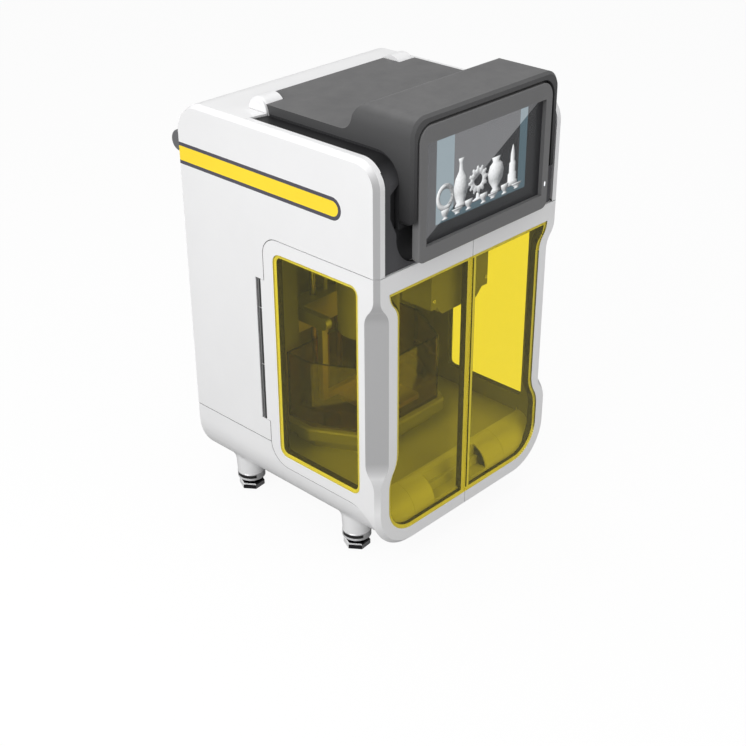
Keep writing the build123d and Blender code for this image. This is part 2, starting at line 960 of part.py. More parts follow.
with BuildPart() as hood:
    with BuildSketch(at_x(-hood_half)):
        with BuildLine():
            Line((tail_top_y, lid_top), (ramp_foot, lid_top))
            s_bend((ramp_foot, lid_top), (ramp_head, housing_top), (-1, 0))
            Polyline(
                (ramp_head, housing_top),
                (housing_front, housing_top),
                (housing_front, hood_low),
                (seam_front, hood_low),
                (seam_front, lid_seam - seam_radius),
            )
            CenterArc((seam_front + seam_radius, lid_seam - seam_radius), seam_radius, 90, 90)
            Line((seam_front + seam_radius, lid_seam), (tail_meet_y, lid_seam))
            CenterArc((hood_axis_y, hood_axis_z), tail_radius, tail_low_angle, 360 - tail_low_angle + tail_top_angle)
        make_face()
    extrude(amount=2 * hood_half)
    hood_front(at_y(rear_y), 0, hood_low, 2 * body_depth, Mode.INTERSECT)
    rim_face = faces().sort_by(Axis.Y)[0]
    chamfer(rim_face.edges().filter_by(lambda edge: edge.center().Z > hood_low + 2), rim_facet)
    with BuildSketch(at_x(-half_width)):
        Polygon(
            (seam_front - 11, hood_low),
            (seam_front - 11, hood_low - 9),
            (housing_front - 9, hood_low - 9),
            (housing_front - 9, hood_low + hood_low_rise),
            (housing_front, hood_low + hood_low_rise),
            align=None,
        )
    extrude(amount=body_width, mode=Mode.SUBTRACT)
    add(hood_void.part, mode=Mode.SUBTRACT)
    with BuildSketch(at_x(-hood_pin_start + 4)):
        with Locations((hood_axis_y, hood_axis_z)):
            Circle(tail_bore_radius)
        with Locations((hood_axis_y - 16, (lid_seam + lid_top - hood_wall) / 2)):
            Rectangle(32, lid_top - hood_wall - lid_seam)
    extrude(amount=2 * hood_pin_start - 8, mode=Mode.SUBTRACT)
    with BuildSketch(at_x(-hood_pin_end)):
        with Locations((hood_axis_y, hood_axis_z)):
            Circle(hood_pin_radius + running_fit)
    extrude(amount=2 * hood_pin_end, mode=Mode.SUBTRACT)
    for start in (-half_width, knuckle_inner - clearance):
        with BuildSketch(at_x(start)):
            with Locations((hood_axis_y, hood_axis_z)):
                Circle(knuckle_radius + knuckle_gap)
                with Locations((knuckle_radius, 0)):
                    Rectangle(2 * knuckle_radius, 4 * knuckle_radius)
        extrude(amount=half_width - knuckle_inner + clearance, mode=Mode.SUBTRACT)
    with BuildSketch(at_y(bezel_back)):
        with Locations((0, (hood_low - 50 + bezel_high + bezel_groove) / 2)):
            RectangleRounded(
                2 * (bezel_half + bezel_groove),
                bezel_high + bezel_groove - hood_low + 50,
                bezel_high_radius + bezel_groove,
            )
    extrude(amount=60, mode=Mode.SUBTRACT)
    with BuildSketch(at_y(bezel_back + back_plate)):
        with Locations((0, (bezel_low + 8 + hood_low + 30) / 2)):
            RectangleRounded(2 * bezel_half - 16, hood_low + 30 - bezel_low - 8, bezel_low_radius)
    extrude(amount=back_plate)
save(hood, "hood")

with BuildPart() as hood_pins:
    with BuildSketch(at_x(-hood_pin_end)):
        with Locations((hood_axis_y, hood_axis_z)):
            Circle(hood_pin_radius)
    extrude(amount=hood_pin_end - hood_pin_start)
save(both_sides(hood_pins), "hood_pins")

with BuildPart() as bezel:
    with BuildSketch(at_y(bezel_back)):
        with BuildLine():
            Line((-bezel_half, bezel_low + bezel_low_radius), (-bezel_half, bezel_high - bezel_high_radius))
            CenterArc((bezel_high_radius - bezel_half, bezel_high - bezel_high_radius), bezel_high_radius, 90, 90)
            Line((bezel_high_radius - bezel_half, bezel_high), (bezel_half - bezel_high_radius, bezel_high))
            CenterArc((bezel_half - bezel_high_radius, bezel_high - bezel_high_radius), bezel_high_radius, 0, 90)
            Line((bezel_half, bezel_high - bezel_high_radius), (bezel_half, bezel_low + bezel_low_radius))
            CenterArc((bezel_half - bezel_low_radius, bezel_low + bezel_low_radius), bezel_low_radius, -90, 90)
            Line((bezel_half - bezel_low_radius, bezel_low), (bezel_low_radius - bezel_half, bezel_low))
            CenterArc((bezel_low_radius - bezel_half, bezel_low + bezel_low_radius), bezel_low_radius, 180, 90)
        make_face()
    extrude(amount=bezel_back - bezel_front)
    chamfer(faces().sort_by(Axis.Y)[0].edges(), 1.6)
    with BuildSketch(at_y(bezel_back)):
        with Locations((0, screen_middle)):
            Rectangle(screen_width, screen_height)
    extrude(amount=40, mode=Mode.SUBTRACT)
    with BuildSketch(at_y(bezel_back)):
        with Locations((0, screen_middle)):
            Rectangle(screen_width + 2 * module_rim, screen_height + 2 * module_rim)
    extrude(amount=bezel_back - bezel_front - screen_depth, mode=Mode.SUBTRACT)
    with BuildSketch(at_y(bezel_front + 2)):
        with Locations((status_x - 6, status_z)):
            SlotOverall(9, 3.4, rotation=90)
    extrude(amount=9, mode=Mode.SUBTRACT)
save(bezel, "bezel")

with BuildPart() as status_light:
    with BuildSketch(at_y(bezel_front + 2)):
        with Locations((status_x - 6, status_z)):
            SlotOverall(9, 3.4, rotation=90)
    extrude(amount=2)
save(status_light, "status_light")

with BuildPart() as screen_glass:
    with BuildSketch(at_y(bezel_front + screen_depth + glass_thickness)):
        with Locations((0, screen_middle)):
            Rectangle(screen_width + 2 * module_rim - 1, screen_height + 2 * module_rim - 1)
    extrude(amount=glass_thickness)
save(screen_glass, "screen_glass")

with BuildPart() as screen_panel:
    with BuildSketch(at_y(bezel_back)):
        with Locations((0, screen_middle)):
            Rectangle(screen_width + 2 * module_rim - 1, screen_height + 2 * module_rim - 1)
    extrude(amount=bezel_back - bezel_front - screen_depth - glass_thickness)
save(screen_panel, "screen_panel")

# Rear handle

with BuildPart() as rear_handle:
    with BuildSketch(at_x(-handle_half)):
        with Locations((handle_y, stripe_middle)):
            Circle(handle_radius)
    extrude(amount=2 * handle_half)
    fillet(edges().filter_by(GeomType.CIRCLE), 4)
save(rear_handle, "rear_handle")

with BuildPart() as handle_post:
    with BuildSketch(at_y(rear_y)):
        with Locations((-handle_post_x, stripe_middle)):
            RectangleRounded(handle_post_width + 16, handle_post_height + 16, 8)
    extrude(amount=-5)
    with BuildSketch(at_y(rear_y + 5)):
        with Locations((-handle_post_x, stripe_middle)):
            RectangleRounded(handle_post_width, handle_post_height, 10)
    extrude(amount=rear_y + 5 - handle_y)
    with BuildSketch(at_x(-half_width)):
        with Locations((handle_y, stripe_middle)):
            Circle(handle_radius)
    extrude(amount=half_width, mode=Mode.SUBTRACT)
save(both_sides(handle_post), "handle_posts")

# Chamber: floor, back with its alcove, and the rounded sill with a tray

sill_rear = toe_start - toe_radius + seam_gap + sill_radius
sill_centre_z = floor_top - sill_radius

with BuildPart() as chamber_floor:
    block(
        Plane.XY.offset(floor_top - floor_thickness),
        -floor_half,
        floor_half,
        sill_rear,
        rear_y - shell_wall - clearance,
        floor_thickness,
    )
save(chamber_floor, "chamber_floor")

with BuildPart() as chamber_back:
    with BuildSketch(Plane.XY.offset(floor_top)):
        Polygon(
            (-inner_x + leaf_thickness + 6, back_wall_y),
            (-alcove_half, back_wall_y),
            (-alcove_half, alcove_rear),
            (alcove_half, alcove_rear),
            (alcove_half, back_wall_y),
            (inner_x - leaf_thickness - 6, back_wall_y),
            (inner_x - leaf_thickness - 6, back_wall_y + sheet),
            (alcove_half + sheet, back_wall_y + sheet),
            (alcove_half + sheet, alcove_rear + sheet),
            (-alcove_half - sheet, alcove_rear + sheet),
            (-alcove_half - sheet, back_wall_y + sheet),
            (-inner_x + leaf_thickness + 6, back_wall_y + sheet),
            align=None,
        )
    extrude(amount=frame_low - floor_top)
    for side in (-1, 1):
        with BuildSketch(at_y(back_wall_y + sheet + 1)):
            with Locations((side * 175, 560)):
                with GridLocations(0, 12, 1, 4):
                    SlotOverall(70, 5)
        extrude(amount=sheet + 2, mode=Mode.SUBTRACT)
save(chamber_back, "chamber_back")


def sill_skin(inset, plane, depth, mode=Mode.ADD):
    """Side view of the sill's bullnose, inset from its surface."""
    bend = sill_radius - inset
    with BuildSketch(plane) as outline:
        with BuildLine():
            Polyline(
                (sill_rear - bend, sill_centre_z),
                (sill_rear - bend, body_bottom + shell_wall),
                (sill_rear, body_bottom + shell_wall),
                (sill_rear, floor_top - inset),
            )
            CenterArc((sill_rear, sill_centre_z), bend, 90, 90)
        make_face()
    extrude(outline.sketch, amount=depth, mode=mode)


cover_low = sill_centre_z - 8

with BuildPart() as sill:
    sill_skin(0, at_x(-half_width), body_width)
    sill_skin(sheet, at_x(-half_width), body_width, Mode.SUBTRACT)
    tub(at_y(0), shell_wall + clearance / 2, skirt_seam, body_depth, Mode.INTERSECT)
    with BuildSketch(at_y(sill_rear - 3)):
        with Locations((0, (cover_low + floor_top + 40) / 2)):
            RectangleRounded(2 * sill_cover_half, floor_top + 40 - cover_low, 10)
    extrude(amount=body_depth, mode=Mode.SUBTRACT)
save(sill, "sill")

with BuildPart() as sill_cover:
    sill_skin(0, at_x(-half_width), body_width)
    sill_skin(sheet, at_x(-half_width), body_width, Mode.SUBTRACT)
    with BuildSketch(at_y(sill_rear - 3 - clearance)):
        with Locations((0, (cover_low + floor_top + 40) / 2)):
            RectangleRounded(2 * sill_cover_half - 2 * clearance, floor_top + 40 - cover_low - 2 * clearance, 10)
    extrude(amount=body_depth, mode=Mode.INTERSECT)
    with BuildSketch(at_y(sill_rear - 14)):
        with Locations((0, (cover_low + 10 + floor_top + 40) / 2)):
            RectangleRounded(2 * sill_recess_half, floor_top + 30 - cover_low, 4)
    extrude(amount=body_depth, mode=Mode.SUBTRACT)
    with BuildSketch(at_x(-sill_recess_half - sheet)):
        Polygon(
            (sill_rear - sheet - 1, floor_top - sheet),
            (sill_rear - 16, floor_top - sheet),
            (sill_rear - 16, floor_top - 28),
            (sill_rear - 24, floor_top - 28),
            (sill_rear - 24, cover_low + 12),
            (sill_rear - sill_radius + sheet, cover_low + 12),
            (sill_rear - sill_radius + sheet, cover_low + 4),
            (sill_rear - sheet - 1, cover_low + 4),
            align=None,
        )
    extrude(amount=2 * sill_recess_half + 2 * sheet)
save(sill_cover, "sill_cover")

# Vat on its base


def vat_plan(height, margin, depth, mode=Mode.ADD, bend=0.0):
    """Plan of the vat, grown by a margin: straight sides that taper to a narrower front."""
    with BuildSketch(Plane.XY.offset(height)) as outline:
        Polygon(
            (-vat_half, vat_rear),
            (-vat_half, vat_shoulder),
            (-vat_front_half, vat_front),
            (vat_front_half, vat_front),
            (vat_half, vat_shoulder),
            (vat_half, vat_rear),
            align=None,
        )
        if margin:
            offset(amount=margin, kind=Kind.INTERSECTION)
        if bend:
            fillet(vertices(), bend)
    extrude(outline.sketch, amount=depth, mode=mode)


with BuildPart() as vat_base:
    vat_plan(base_low, base_margin, vat_bottom - base_low, bend=14)
    chamfer(edges().group_by(Axis.Z)[-1], 3)
    vat_plan(floor_top, base_margin - 22, base_low - floor_top, bend=8)
save(vat_base, "vat_base")

with BuildPart() as vat:
    vat_plan(vat_bottom, 0, vat_rim - vat_bottom, bend=4)
    vat_plan(vat_bottom + vat_wall, -vat_wall, vat_rim - vat_bottom, Mode.SUBTRACT, bend=2)
    for side in (-1, 1):
        with BuildSketch(Plane.XY.offset(vat_bottom + vat_wall)):
            Polygon(
                (side * (vat_half - vat_wall), vat_shoulder + 34),
                (side * (vat_half - vat_wall), vat_shoulder),
                (side * (vat_front_half + 24), vat_shoulder - 48),
                align=None,
            )
        extrude(amount=30)
save(vat, "vat")

# Light engine over the vat

with BuildPart() as light_box:
    with BuildSketch(at_y(box_rear)):
        Polygon(
            (-box_half, frame_low),
            (-box_half, box_low + box_notch),
            (-box_half + 16, box_low + box_notch),
            (-box_half + 31, box_low),
            (box_half - 31, box_low),
            (box_half - 16, box_low + box_notch),
            (box_half, box_low + box_notch),
            (box_half, frame_low),
            align=None,
        )
    extrude(amount=box_rear - box_front)
    with BuildSketch(Plane.XY.offset(box_low)):
        with Locations((0, (box_front + box_rear) / 2)):
            RectangleRounded(70, 44, 6)
    extrude(amount=100, mode=Mode.SUBTRACT)
save(light_box, "light_box")


with BuildPart() as lens_shroud:
    with BuildSketch(Plane.XY.offset(shroud_low)):
        with Locations((0, shroud_y)):
            Circle(shroud_radius)
            Circle(shroud_radius - sheet, mode=Mode.SUBTRACT)
    extrude(amount=frame_low - shroud_low)
    with BuildSketch(Plane.XY.offset(frame_low - 5)):
        with Locations((0, shroud_y)):
            Circle(shroud_radius + 9)
            Circle(shroud_radius - sheet, mode=Mode.SUBTRACT)
    extrude(amount=5)
save(lens_shroud, "lens_shroud")

screw_head = 3.6
head_height = 2.2


def button_heads(plane, *places):
    """Round heads of socket screws that stand on a plane."""
    with BuildSketch(plane) as heads:
        with Locations(*places):
            Circle(screw_head)
    extrude(heads.sketch, amount=head_height, taper=14)
    with BuildSketch(plane.offset(head_height)) as sockets:
        with Locations(*places):
            RegularPolygon(1.9, 6)
    extrude(sockets.sketch, amount=-1.4, mode=Mode.SUBTRACT)


with BuildPart() as button_screws:
    button_heads(at_y(box_front), (7 - box_half, box_low + 33), (box_half - 7, box_low + 33))
    hatch_places = [(x, y) for x in (7 - hatch_half, hatch_half - 7) for y in (hatch_front + 7, hatch_rear - 7)]
    button_heads(Plane.XY.offset(lid_seam - clearance + 2), *hatch_places)
save(button_screws, "button_screws")

projector_low = plate_high
projector_half = 95
projector_front = -110
projector_rear = 50
projector_height = 120

with BuildPart() as projection_lens:
    with BuildSketch(at_y(shroud_y)):
        Polygon(
            (0, projector_low),
            (lens_radius, projector_low),
            (lens_radius, 560),
            (lens_radius - 5, 552),
            (lens_radius - 5, 500),
            (lens_radius, 496),
            (lens_radius, 430),
            (lens_radius - 9, 424),
            (lens_radius - 9, 404),
            (0, 410),
            align=None,
        )
    revolve(axis=Axis((0, shroud_y, 0), (0, 0, 1)))
save(projection_lens, "projection_lens")

with BuildPart() as projector:
    block(
        Plane.XY.offset(projector_low),
        -projector_half,
        projector_half,
        projector_front,
        projector_rear,
        projector_height,
    )
    with BuildSketch(Plane.XY.offset(projector_low + projector_height)):
        with Locations((0, (projector_front + projector_rear) / 2)):
            with GridLocations(12, 0, 14, 1):
                Rectangle(4, 130)
    extrude(amount=-28, mode=Mode.SUBTRACT)
save(projector, "projector")

# Vertical axis

with BuildPart() as z_brackets:
    for low in (floor_top, frame_low - bracket_height):
        with BuildSketch(Plane.XY.offset(low)):
            with Locations((0, axis_y)):
                RectangleRounded(2 * rod_x + 40, 40, 6)
        extrude(amount=bracket_height)
    with BuildSketch(Plane.XY.offset(floor_top + 4)):
        with Locations((-rod_x, axis_y), (rod_x, axis_y)):
            Circle(rod_radius)
    extrude(amount=frame_low - floor_top - 8, mode=Mode.SUBTRACT)
    with BuildSketch(Plane.XY.offset(floor_top + 6)):
        with Locations((0, axis_y)):
            Circle(screw_radius + running_fit)
    extrude(amount=frame_low, mode=Mode.SUBTRACT)
save(z_brackets, "z_brackets")

with BuildPart() as z_rods:
    with BuildSketch(Plane.XY.offset(floor_top + 4)):
        with Locations((-rod_x, axis_y), (rod_x, axis_y)):
            Circle(rod_radius)
    extrude(amount=frame_low - floor_top - 8)
save(z_rods, "z_rods")

motor_low = 648
motor_size = 57

with BuildPart() as lead_screw:
    with BuildSketch(Plane.XY.offset(floor_top + 6)):
        with Locations((0, axis_y)):
            Circle(screw_radius)
    extrude(amount=motor_low - 4 - floor_top - 6)
    with BuildSketch(Plane.XY.offset(frame_low + 6)):
        with Locations((0, axis_y)):
            Circle(11)
    extrude(amount=motor_low - 4 - frame_low - 6)
save(lead_screw, "lead_screw")

with BuildPart() as z_motor:
    with BuildSketch(Plane.XY.offset(motor_low)):
        with Locations((0, axis_y)):
            RectangleRounded(motor_size, motor_size, 5)
    extrude(amount=56)
    with BuildSketch(Plane.XY.offset(plate_high)):
        with Locations((0, axis_y)):
            with GridLocations(47, 47, 2, 2):
                Circle(4)
    extrude(amount=motor_low - plate_high)
save(z_motor, "z_motor")

with BuildPart() as carriage:
    with BuildSketch(Plane.XY.offset(carriage_low)):
        with BuildLine():
            Polyline(
                (arm_x - arm_width / 2, carriage_front),
                (2 * rod_x - 14, carriage_front),
                (2 * rod_x - 14, axis_y + 18),
                (-2 * rod_x + 14, axis_y + 18),
                (arm_x - arm_width / 2, carriage_front + 16),
                close=True,
            )
        make_face()
    extrude(amount=carriage_high - carriage_low)
    with BuildSketch(Plane.XY.offset(carriage_low)):
        with Locations((-rod_x, axis_y), (rod_x, axis_y)):
            Circle(rod_radius + running_fit)
        with Locations((0, axis_y)):
            Circle(screw_radius + 0.3)
    extrude(amount=carriage_high, mode=Mode.SUBTRACT)
save(carriage, "carriage")

with BuildPart() as platform_arm:
    with BuildSketch(at_x(arm_x - arm_width / 2)):
        with BuildLine():
            Polyline(
                (leg_y - leg_depth / 2, carriage_high - arm_height),
                (leg_y - leg_depth / 2, platform_top),
                (leg_y + leg_depth / 2, platform_top),
                (leg_y + leg_depth / 2, carriage_high - arm_height - 6),
            )
            Polyline(
                (leg_y + leg_depth / 2, carriage_high - arm_height - 6),
                (leg_y + leg_depth / 2 + 6, carriage_high - arm_height),
                (carriage_front, carriage_high - arm_height),
                (carriage_front, carriage_high),
                (arm_front + arm_height / 2, carriage_high),
            )
            CenterArc((arm_front + arm_height / 2, carriage_high - arm_height / 2), arm_height / 2, 90, 180)
            Line(
                (arm_front + arm_height / 2, carriage_high - arm_height),
                (leg_y - leg_depth / 2, carriage_high - arm_height),
            )
        make_face()
    extrude(amount=arm_width)
    block(
        Plane.XY.offset(platform_top),
        arm_x - arm_width / 2,
        bar_end,
        leg_y - leg_depth / 2,
        leg_y + leg_depth / 2,
        14,
    )
save(platform_arm, "platform_arm")

with BuildPart() as platform:
    with BuildSketch(Plane.XY.offset(platform_top - platform_thickness)):
        with Locations((0, (platform_front + platform_rear) / 2)):
            RectangleRounded(2 * platform_half, platform_rear - platform_front, 6)
    extrude(amount=platform_thickness)
save(platform, "platform")

# Rear compartment

with BuildPart() as power_supply:
    block(Plane.XY.offset(floor_top), -222, -124, 112, 232, 50)
    with BuildSketch(Plane.XY.offset(floor_top + 50)):
        with Locations((-173, 180)):
            with GridLocations(10, 0, 8, 1):
                SlotOverall(60, 4, rotation=90)
    extrude(amount=-2, mode=Mode.SUBTRACT)
save(power_supply, "power_supply")

with BuildPart() as control_board:
    block(at_y(back_wall_y + sheet + 8), 122, 226, 210, 400, -2)
    with BuildSketch(at_y(back_wall_y + sheet)):
        with Locations((174, 305)):
            with GridLocations(92, 178, 2, 2):
                Circle(4)
    extrude(amount=-8)
    for x, z, wide, tall, deep in ((150, 250, 30, 30, 4), (195, 330, 38, 38, 14), (150, 375, 44, 16, 10)):
        block(at_y(back_wall_y + sheet + 10), x - wide / 2, x + wide / 2, z - tall / 2, z + tall / 2, -deep)
save(control_board, "control_board")

with BuildPart() as fan_frame:
    with BuildSketch(at_y(rear_y - cover_wall)):
        with Locations((fan_x, fan_z)):
            RectangleRounded(fan_size, fan_size, 6)
            Circle(fan_size / 2 - 3, mode=Mode.SUBTRACT)
    extrude(amount=fan_depth)
    with BuildSketch(at_y(rear_y - cover_wall - fan_depth + 4)):
        with Locations((fan_x, fan_z)):
            Circle(fan_hub)
            Rectangle(fan_size - 2, 5)
            Rectangle(5, fan_size - 2)
    extrude(amount=4)
save(fan_frame, "fan_frame")

with BuildPart() as fan_rotor:
    with BuildSketch(at_y(rear_y - cover_wall - 3)):
        with Locations((fan_x, fan_z)):
            Circle(fan_hub)
            with PolarLocations(0, 7):
                with Locations((fan_hub + 16, 0)):
                    Rectangle(38, 14)
        with Locations((fan_x, fan_z)):
            Circle(fan_size / 2 - 6, mode=Mode.INTERSECT)
    extrude(amount=fan_depth - 7.5)
save(fan_rotor, "fan_rotor")

with BuildPart() as power_inlet:
    block(
        at_y(rear_y + 2),
        inlet_x - inlet_width / 2 - 4,
        inlet_x + inlet_width / 2 + 4,
        inlet_z - inlet_height / 2 - 4,
        inlet_z + inlet_height / 2 + 4,
        2,
    )
    block(
        at_y(rear_y),
        inlet_x - inlet_width / 2,
        inlet_x + inlet_width / 2,
        inlet_z - inlet_height / 2,
        inlet_z + inlet_height / 2,
        24,
    )
    with BuildSketch(at_y(rear_y + 2)):
        with Locations((inlet_x, inlet_z)):
            RectangleRounded(27, 19, 3)
    extrude(amount=20, mode=Mode.SUBTRACT)
    with BuildSketch(at_y(rear_y - 18)):
        with Locations((inlet_x - 7, inlet_z - 1), (inlet_x, inlet_z + 3), (inlet_x + 7, inlet_z - 1)):
            Rectangle(2, 6)
    extrude(amount=-14)
save(power_inlet, "power_inlet")

with BuildPart() as power_switch:
    with BuildSketch(at_y(rear_y + 2)):
        with Locations((switch_x, inlet_z)):
            Rectangle(switch_width + 6, switch_height + 6)
            Rectangle(switch_width - 2, switch_height - 2, mode=Mode.SUBTRACT)
    extrude(amount=2)
    with BuildSketch(at_y(rear_y)):
        with Locations((switch_x, inlet_z)):
            Rectangle(switch_width, switch_height)
            Rectangle(switch_width - 2, switch_height - 2, mode=Mode.SUBTRACT)
    extrude(amount=16)
    block(
        at_y(rear_y - 16),
        switch_x - switch_width / 2,
        switch_x + switch_width / 2,
        inlet_z - switch_height / 2,
        inlet_z + switch_height / 2,
        3,
    )
save(power_switch, "power_switch")

rocker_y = rear_y - 6
rocker_tilt = 12

with BuildPart() as switch_rocker:
    with BuildSketch(at_x(switch_x - switch_width / 2 + 1 + clearance)):
        with Locations((rocker_y, inlet_z)):
            Circle(4)
            with Locations(Location((0, 0), -rocker_tilt / 2)):
                Polygon((0, -8), (6.2, -7.2), (9.5, 0), (6.2, 7.2), (0, 8), align=None)
    extrude(amount=switch_width - 2 - 2 * clearance)
save(switch_rocker, "switch_rocker")

# Levelling feet

foot_names = ("foot_front_left", "foot_rear_left", "foot_front_right", "foot_rear_right")
for foot_place, foot_name in zip(foot_places, foot_names):
    with BuildPart() as foot:
        with BuildSketch(Plane.XY):
            with Locations(foot_place):
                RegularPolygon(hex_width / 2, 6, major_radius=False, rotation=hex_turn)
        extrude(amount=hex_height)
        chamfer(edges().group_by(Axis.Z)[-1], 2)
        with BuildSketch(Plane.XY.offset(hex_height)):
            with Locations(foot_place):
                Circle(stud_radius)
        extrude(amount=body_bottom + 16 - hex_height)
    save(foot, foot_name)


with BuildPart() as foot_nuts:
    with BuildSketch(Plane.XY.offset(collar_low - nut_height)):
        with Locations(*foot_places):
            RegularPolygon(nut_radius, 6)
            Circle(stud_radius + 0.3, mode=Mode.SUBTRACT)
    extrude(amount=nut_height)
save(foot_nuts, "foot_nuts")

with BuildPart() as foot_collars:
    with BuildSketch(Plane.XY.offset(collar_low)):
        with Locations(*foot_places):
            Circle(collar_radius)
            Circle(stud_radius + 0.3, mode=Mode.SUBTRACT)
    extrude(amount=boss_low - collar_low)
    chamfer(foot_collars.edges().filter_by(lambda edge: edge.length > 100), 1)
save(foot_collars, "foot_collars")
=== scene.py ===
"""Finishes, small parts and studio for a bench-top ceramic printer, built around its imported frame."""

import math

import bmesh
import bpy
from bpy.props import FloatProperty, FloatVectorProperty, PointerProperty
from mathutils import Matrix, Vector


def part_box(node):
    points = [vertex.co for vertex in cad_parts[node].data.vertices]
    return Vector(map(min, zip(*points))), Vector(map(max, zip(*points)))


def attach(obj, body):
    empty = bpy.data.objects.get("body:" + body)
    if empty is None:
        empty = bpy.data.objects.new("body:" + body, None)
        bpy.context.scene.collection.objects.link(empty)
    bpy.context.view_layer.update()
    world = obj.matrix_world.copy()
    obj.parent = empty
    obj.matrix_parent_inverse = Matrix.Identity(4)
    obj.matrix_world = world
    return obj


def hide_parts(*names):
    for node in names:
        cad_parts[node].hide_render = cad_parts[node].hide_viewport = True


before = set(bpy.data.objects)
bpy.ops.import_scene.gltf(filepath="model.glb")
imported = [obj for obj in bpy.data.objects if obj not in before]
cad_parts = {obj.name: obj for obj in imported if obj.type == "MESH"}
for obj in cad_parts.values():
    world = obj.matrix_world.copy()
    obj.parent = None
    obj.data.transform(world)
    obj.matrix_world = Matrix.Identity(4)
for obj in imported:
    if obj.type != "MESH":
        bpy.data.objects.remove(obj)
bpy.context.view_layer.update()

bl_info = {
    "name": "Ceramic printer finishes",
    "version": (1, 0, 0),
    "blender": (4, 5, 0),
    "location": "View3D > Sidebar > Printer",
    "description": "Finishes, small parts and studio for a bench-top ceramic printer",
    "category": "Object",
}

MM = 0.001

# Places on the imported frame, in millimetres
DOOR_FRONT = -272
BODY_SIDE = 250
WINDOW_LIP = 7.0
MIDDLE_LIPS = {"left": 8.75, "right": 12.75}
COVER_SEAT = 227.95
COVER_SCREWS = [(x, z) for x in (-228, 0, 228) for z in (204, 330, 480, 640)]
POST_SEAT = 232.9
POST_SCREWS = [(sign * 150 + x, z) for sign in (-1, 1) for x in (-25, 25) for z in (707, 747)]
HINGE_AXIS = (244, 27)
HINGE_BARS = (298.2, 417.4)
HINGE_BAR_LENGTH = 58.4
SCREW_AXIS = (0, 108, 0)
BOARD_FACE = 98
STUD_SHOWN = (11.6, 28)

# The display and its picture, in millimetres, with the middle of the hood at 0
DISPLAY_FRONT = -287.2
DISPLAY_REAR = -284.1
DISPLAY_HALF = 159
DISPLAY_LEVELS = (664, 848)
DISPLAY_CORNER = 3
# The screen opening, whose diagonal bounds the painted sheen on the display
SCREEN_WIDTH = 315
SCREEN_HEIGHT = 181
SCREEN_LOW = 665.5
PICTURE_SIDES = (-122, 120)
PICTURE_LEVELS = (691, 860)
LEFT_BAR_END = -77
RIGHT_BAR_START = 99
STRIP_LEVELS = (690, 703)
WARE_PLANE = -287.25
WARE_RELIEF = 0.25
ROW_STEP = 0.3
ROW_GAP = 100
DEEPEST_WARE = 25


# Node trees


def add(tree, kind, sockets=None, **settings):
    """Adds a node, applies its settings, and fills its inputs with values or links."""
    made = tree.nodes.new("ShaderNode" + kind)
    for key, value in settings.items():
        setattr(made, key, value)
    for key, value in (sockets or {}).items():
        if isinstance(value, bpy.types.NodeSocket):
            tree.links.new(value, made.inputs[key])
        else:
            made.inputs[key].default_value = value
    return made


def sums(tree, operation, a, b, clamp=False):
    """The result of one sum on two values or sockets."""
    return add(tree, "Math", {0: a, 1: b}, operation=operation, use_clamp=clamp).outputs[0]


def towards(tree, vector, direction):
    """How far a vector points in a direction: their dot product."""
    return add(tree, "VectorMath", {0: vector, 1: direction}, operation="DOT_PRODUCT").outputs["Value"]


def spread(tree, value, low, high, start=0.0, end=1.0):
    """Maps a value from one range to another and holds it there."""
    sockets = {"Value": value, "From Min": low, "From Max": high, "To Min": start, "To Max": end}
    return add(tree, "MapRange", sockets, clamp=True).outputs[0]


def blend_colours(tree, share, first, second):
    """Mixes two colours or colour sockets."""
    mix = add(tree, "Mix", {"Factor": share}, data_type="RGBA")
    for key, value in ((6, first), (7, second)):
        if isinstance(value, bpy.types.NodeSocket):
            tree.links.new(value, mix.inputs[key])
        else:
            mix.inputs[key].default_value = (*value[:3], 1)
    return mix.outputs[2]


def effect(name, inputs, outputs):
    """An empty shader node group with its sockets, as its tree, its input node and its output node."""
    tree = bpy.data.node_groups.new(name, "ShaderNodeTree")
    for label, kind, value in inputs:
        socket = tree.interface.new_socket(label, in_out="INPUT", socket_type="NodeSocket" + kind)
        socket.default_value = value
    for label in outputs:
        tree.interface.new_socket(label, in_out="OUTPUT", socket_type="NodeSocketFloat")
    return tree, tree.nodes.new("NodeGroupInput"), tree.nodes.new("NodeGroupOutput")


def grain_effect():
    """Fine surface texture as a height, and broad uneven tone, both in the piece's own coordinates."""
    tree, ins, outs = effect(
        "Surface grain",
        [("Grains per metre", "Float", 900.0), ("Patches per metre", "Float", 9.0), ("Stretch", "Vector", (1, 1, 1))],
        ["Height", "Tone"],
    )
    place = add(tree, "TexCoord").outputs["Object"]
    drawn = add(tree, "VectorMath", {0: place, 1: ins.outputs["Stretch"]}, operation="MULTIPLY").outputs[0]
    fine = add(tree, "TexNoise", {"Vector": drawn, "Scale": ins.outputs[0], "Detail": 2.0, "Roughness": 0.6})
    broad = add(tree, "TexNoise", {"Vector": place, "Scale": ins.outputs[1], "Detail": 3.0, "Roughness": 0.55})
    tree.links.new(fine.outputs["Fac"], outs.inputs["Height"])
    tree.links.new(spread(tree, broad.outputs["Fac"], 0.3, 0.7), outs.inputs["Tone"])
    return tree


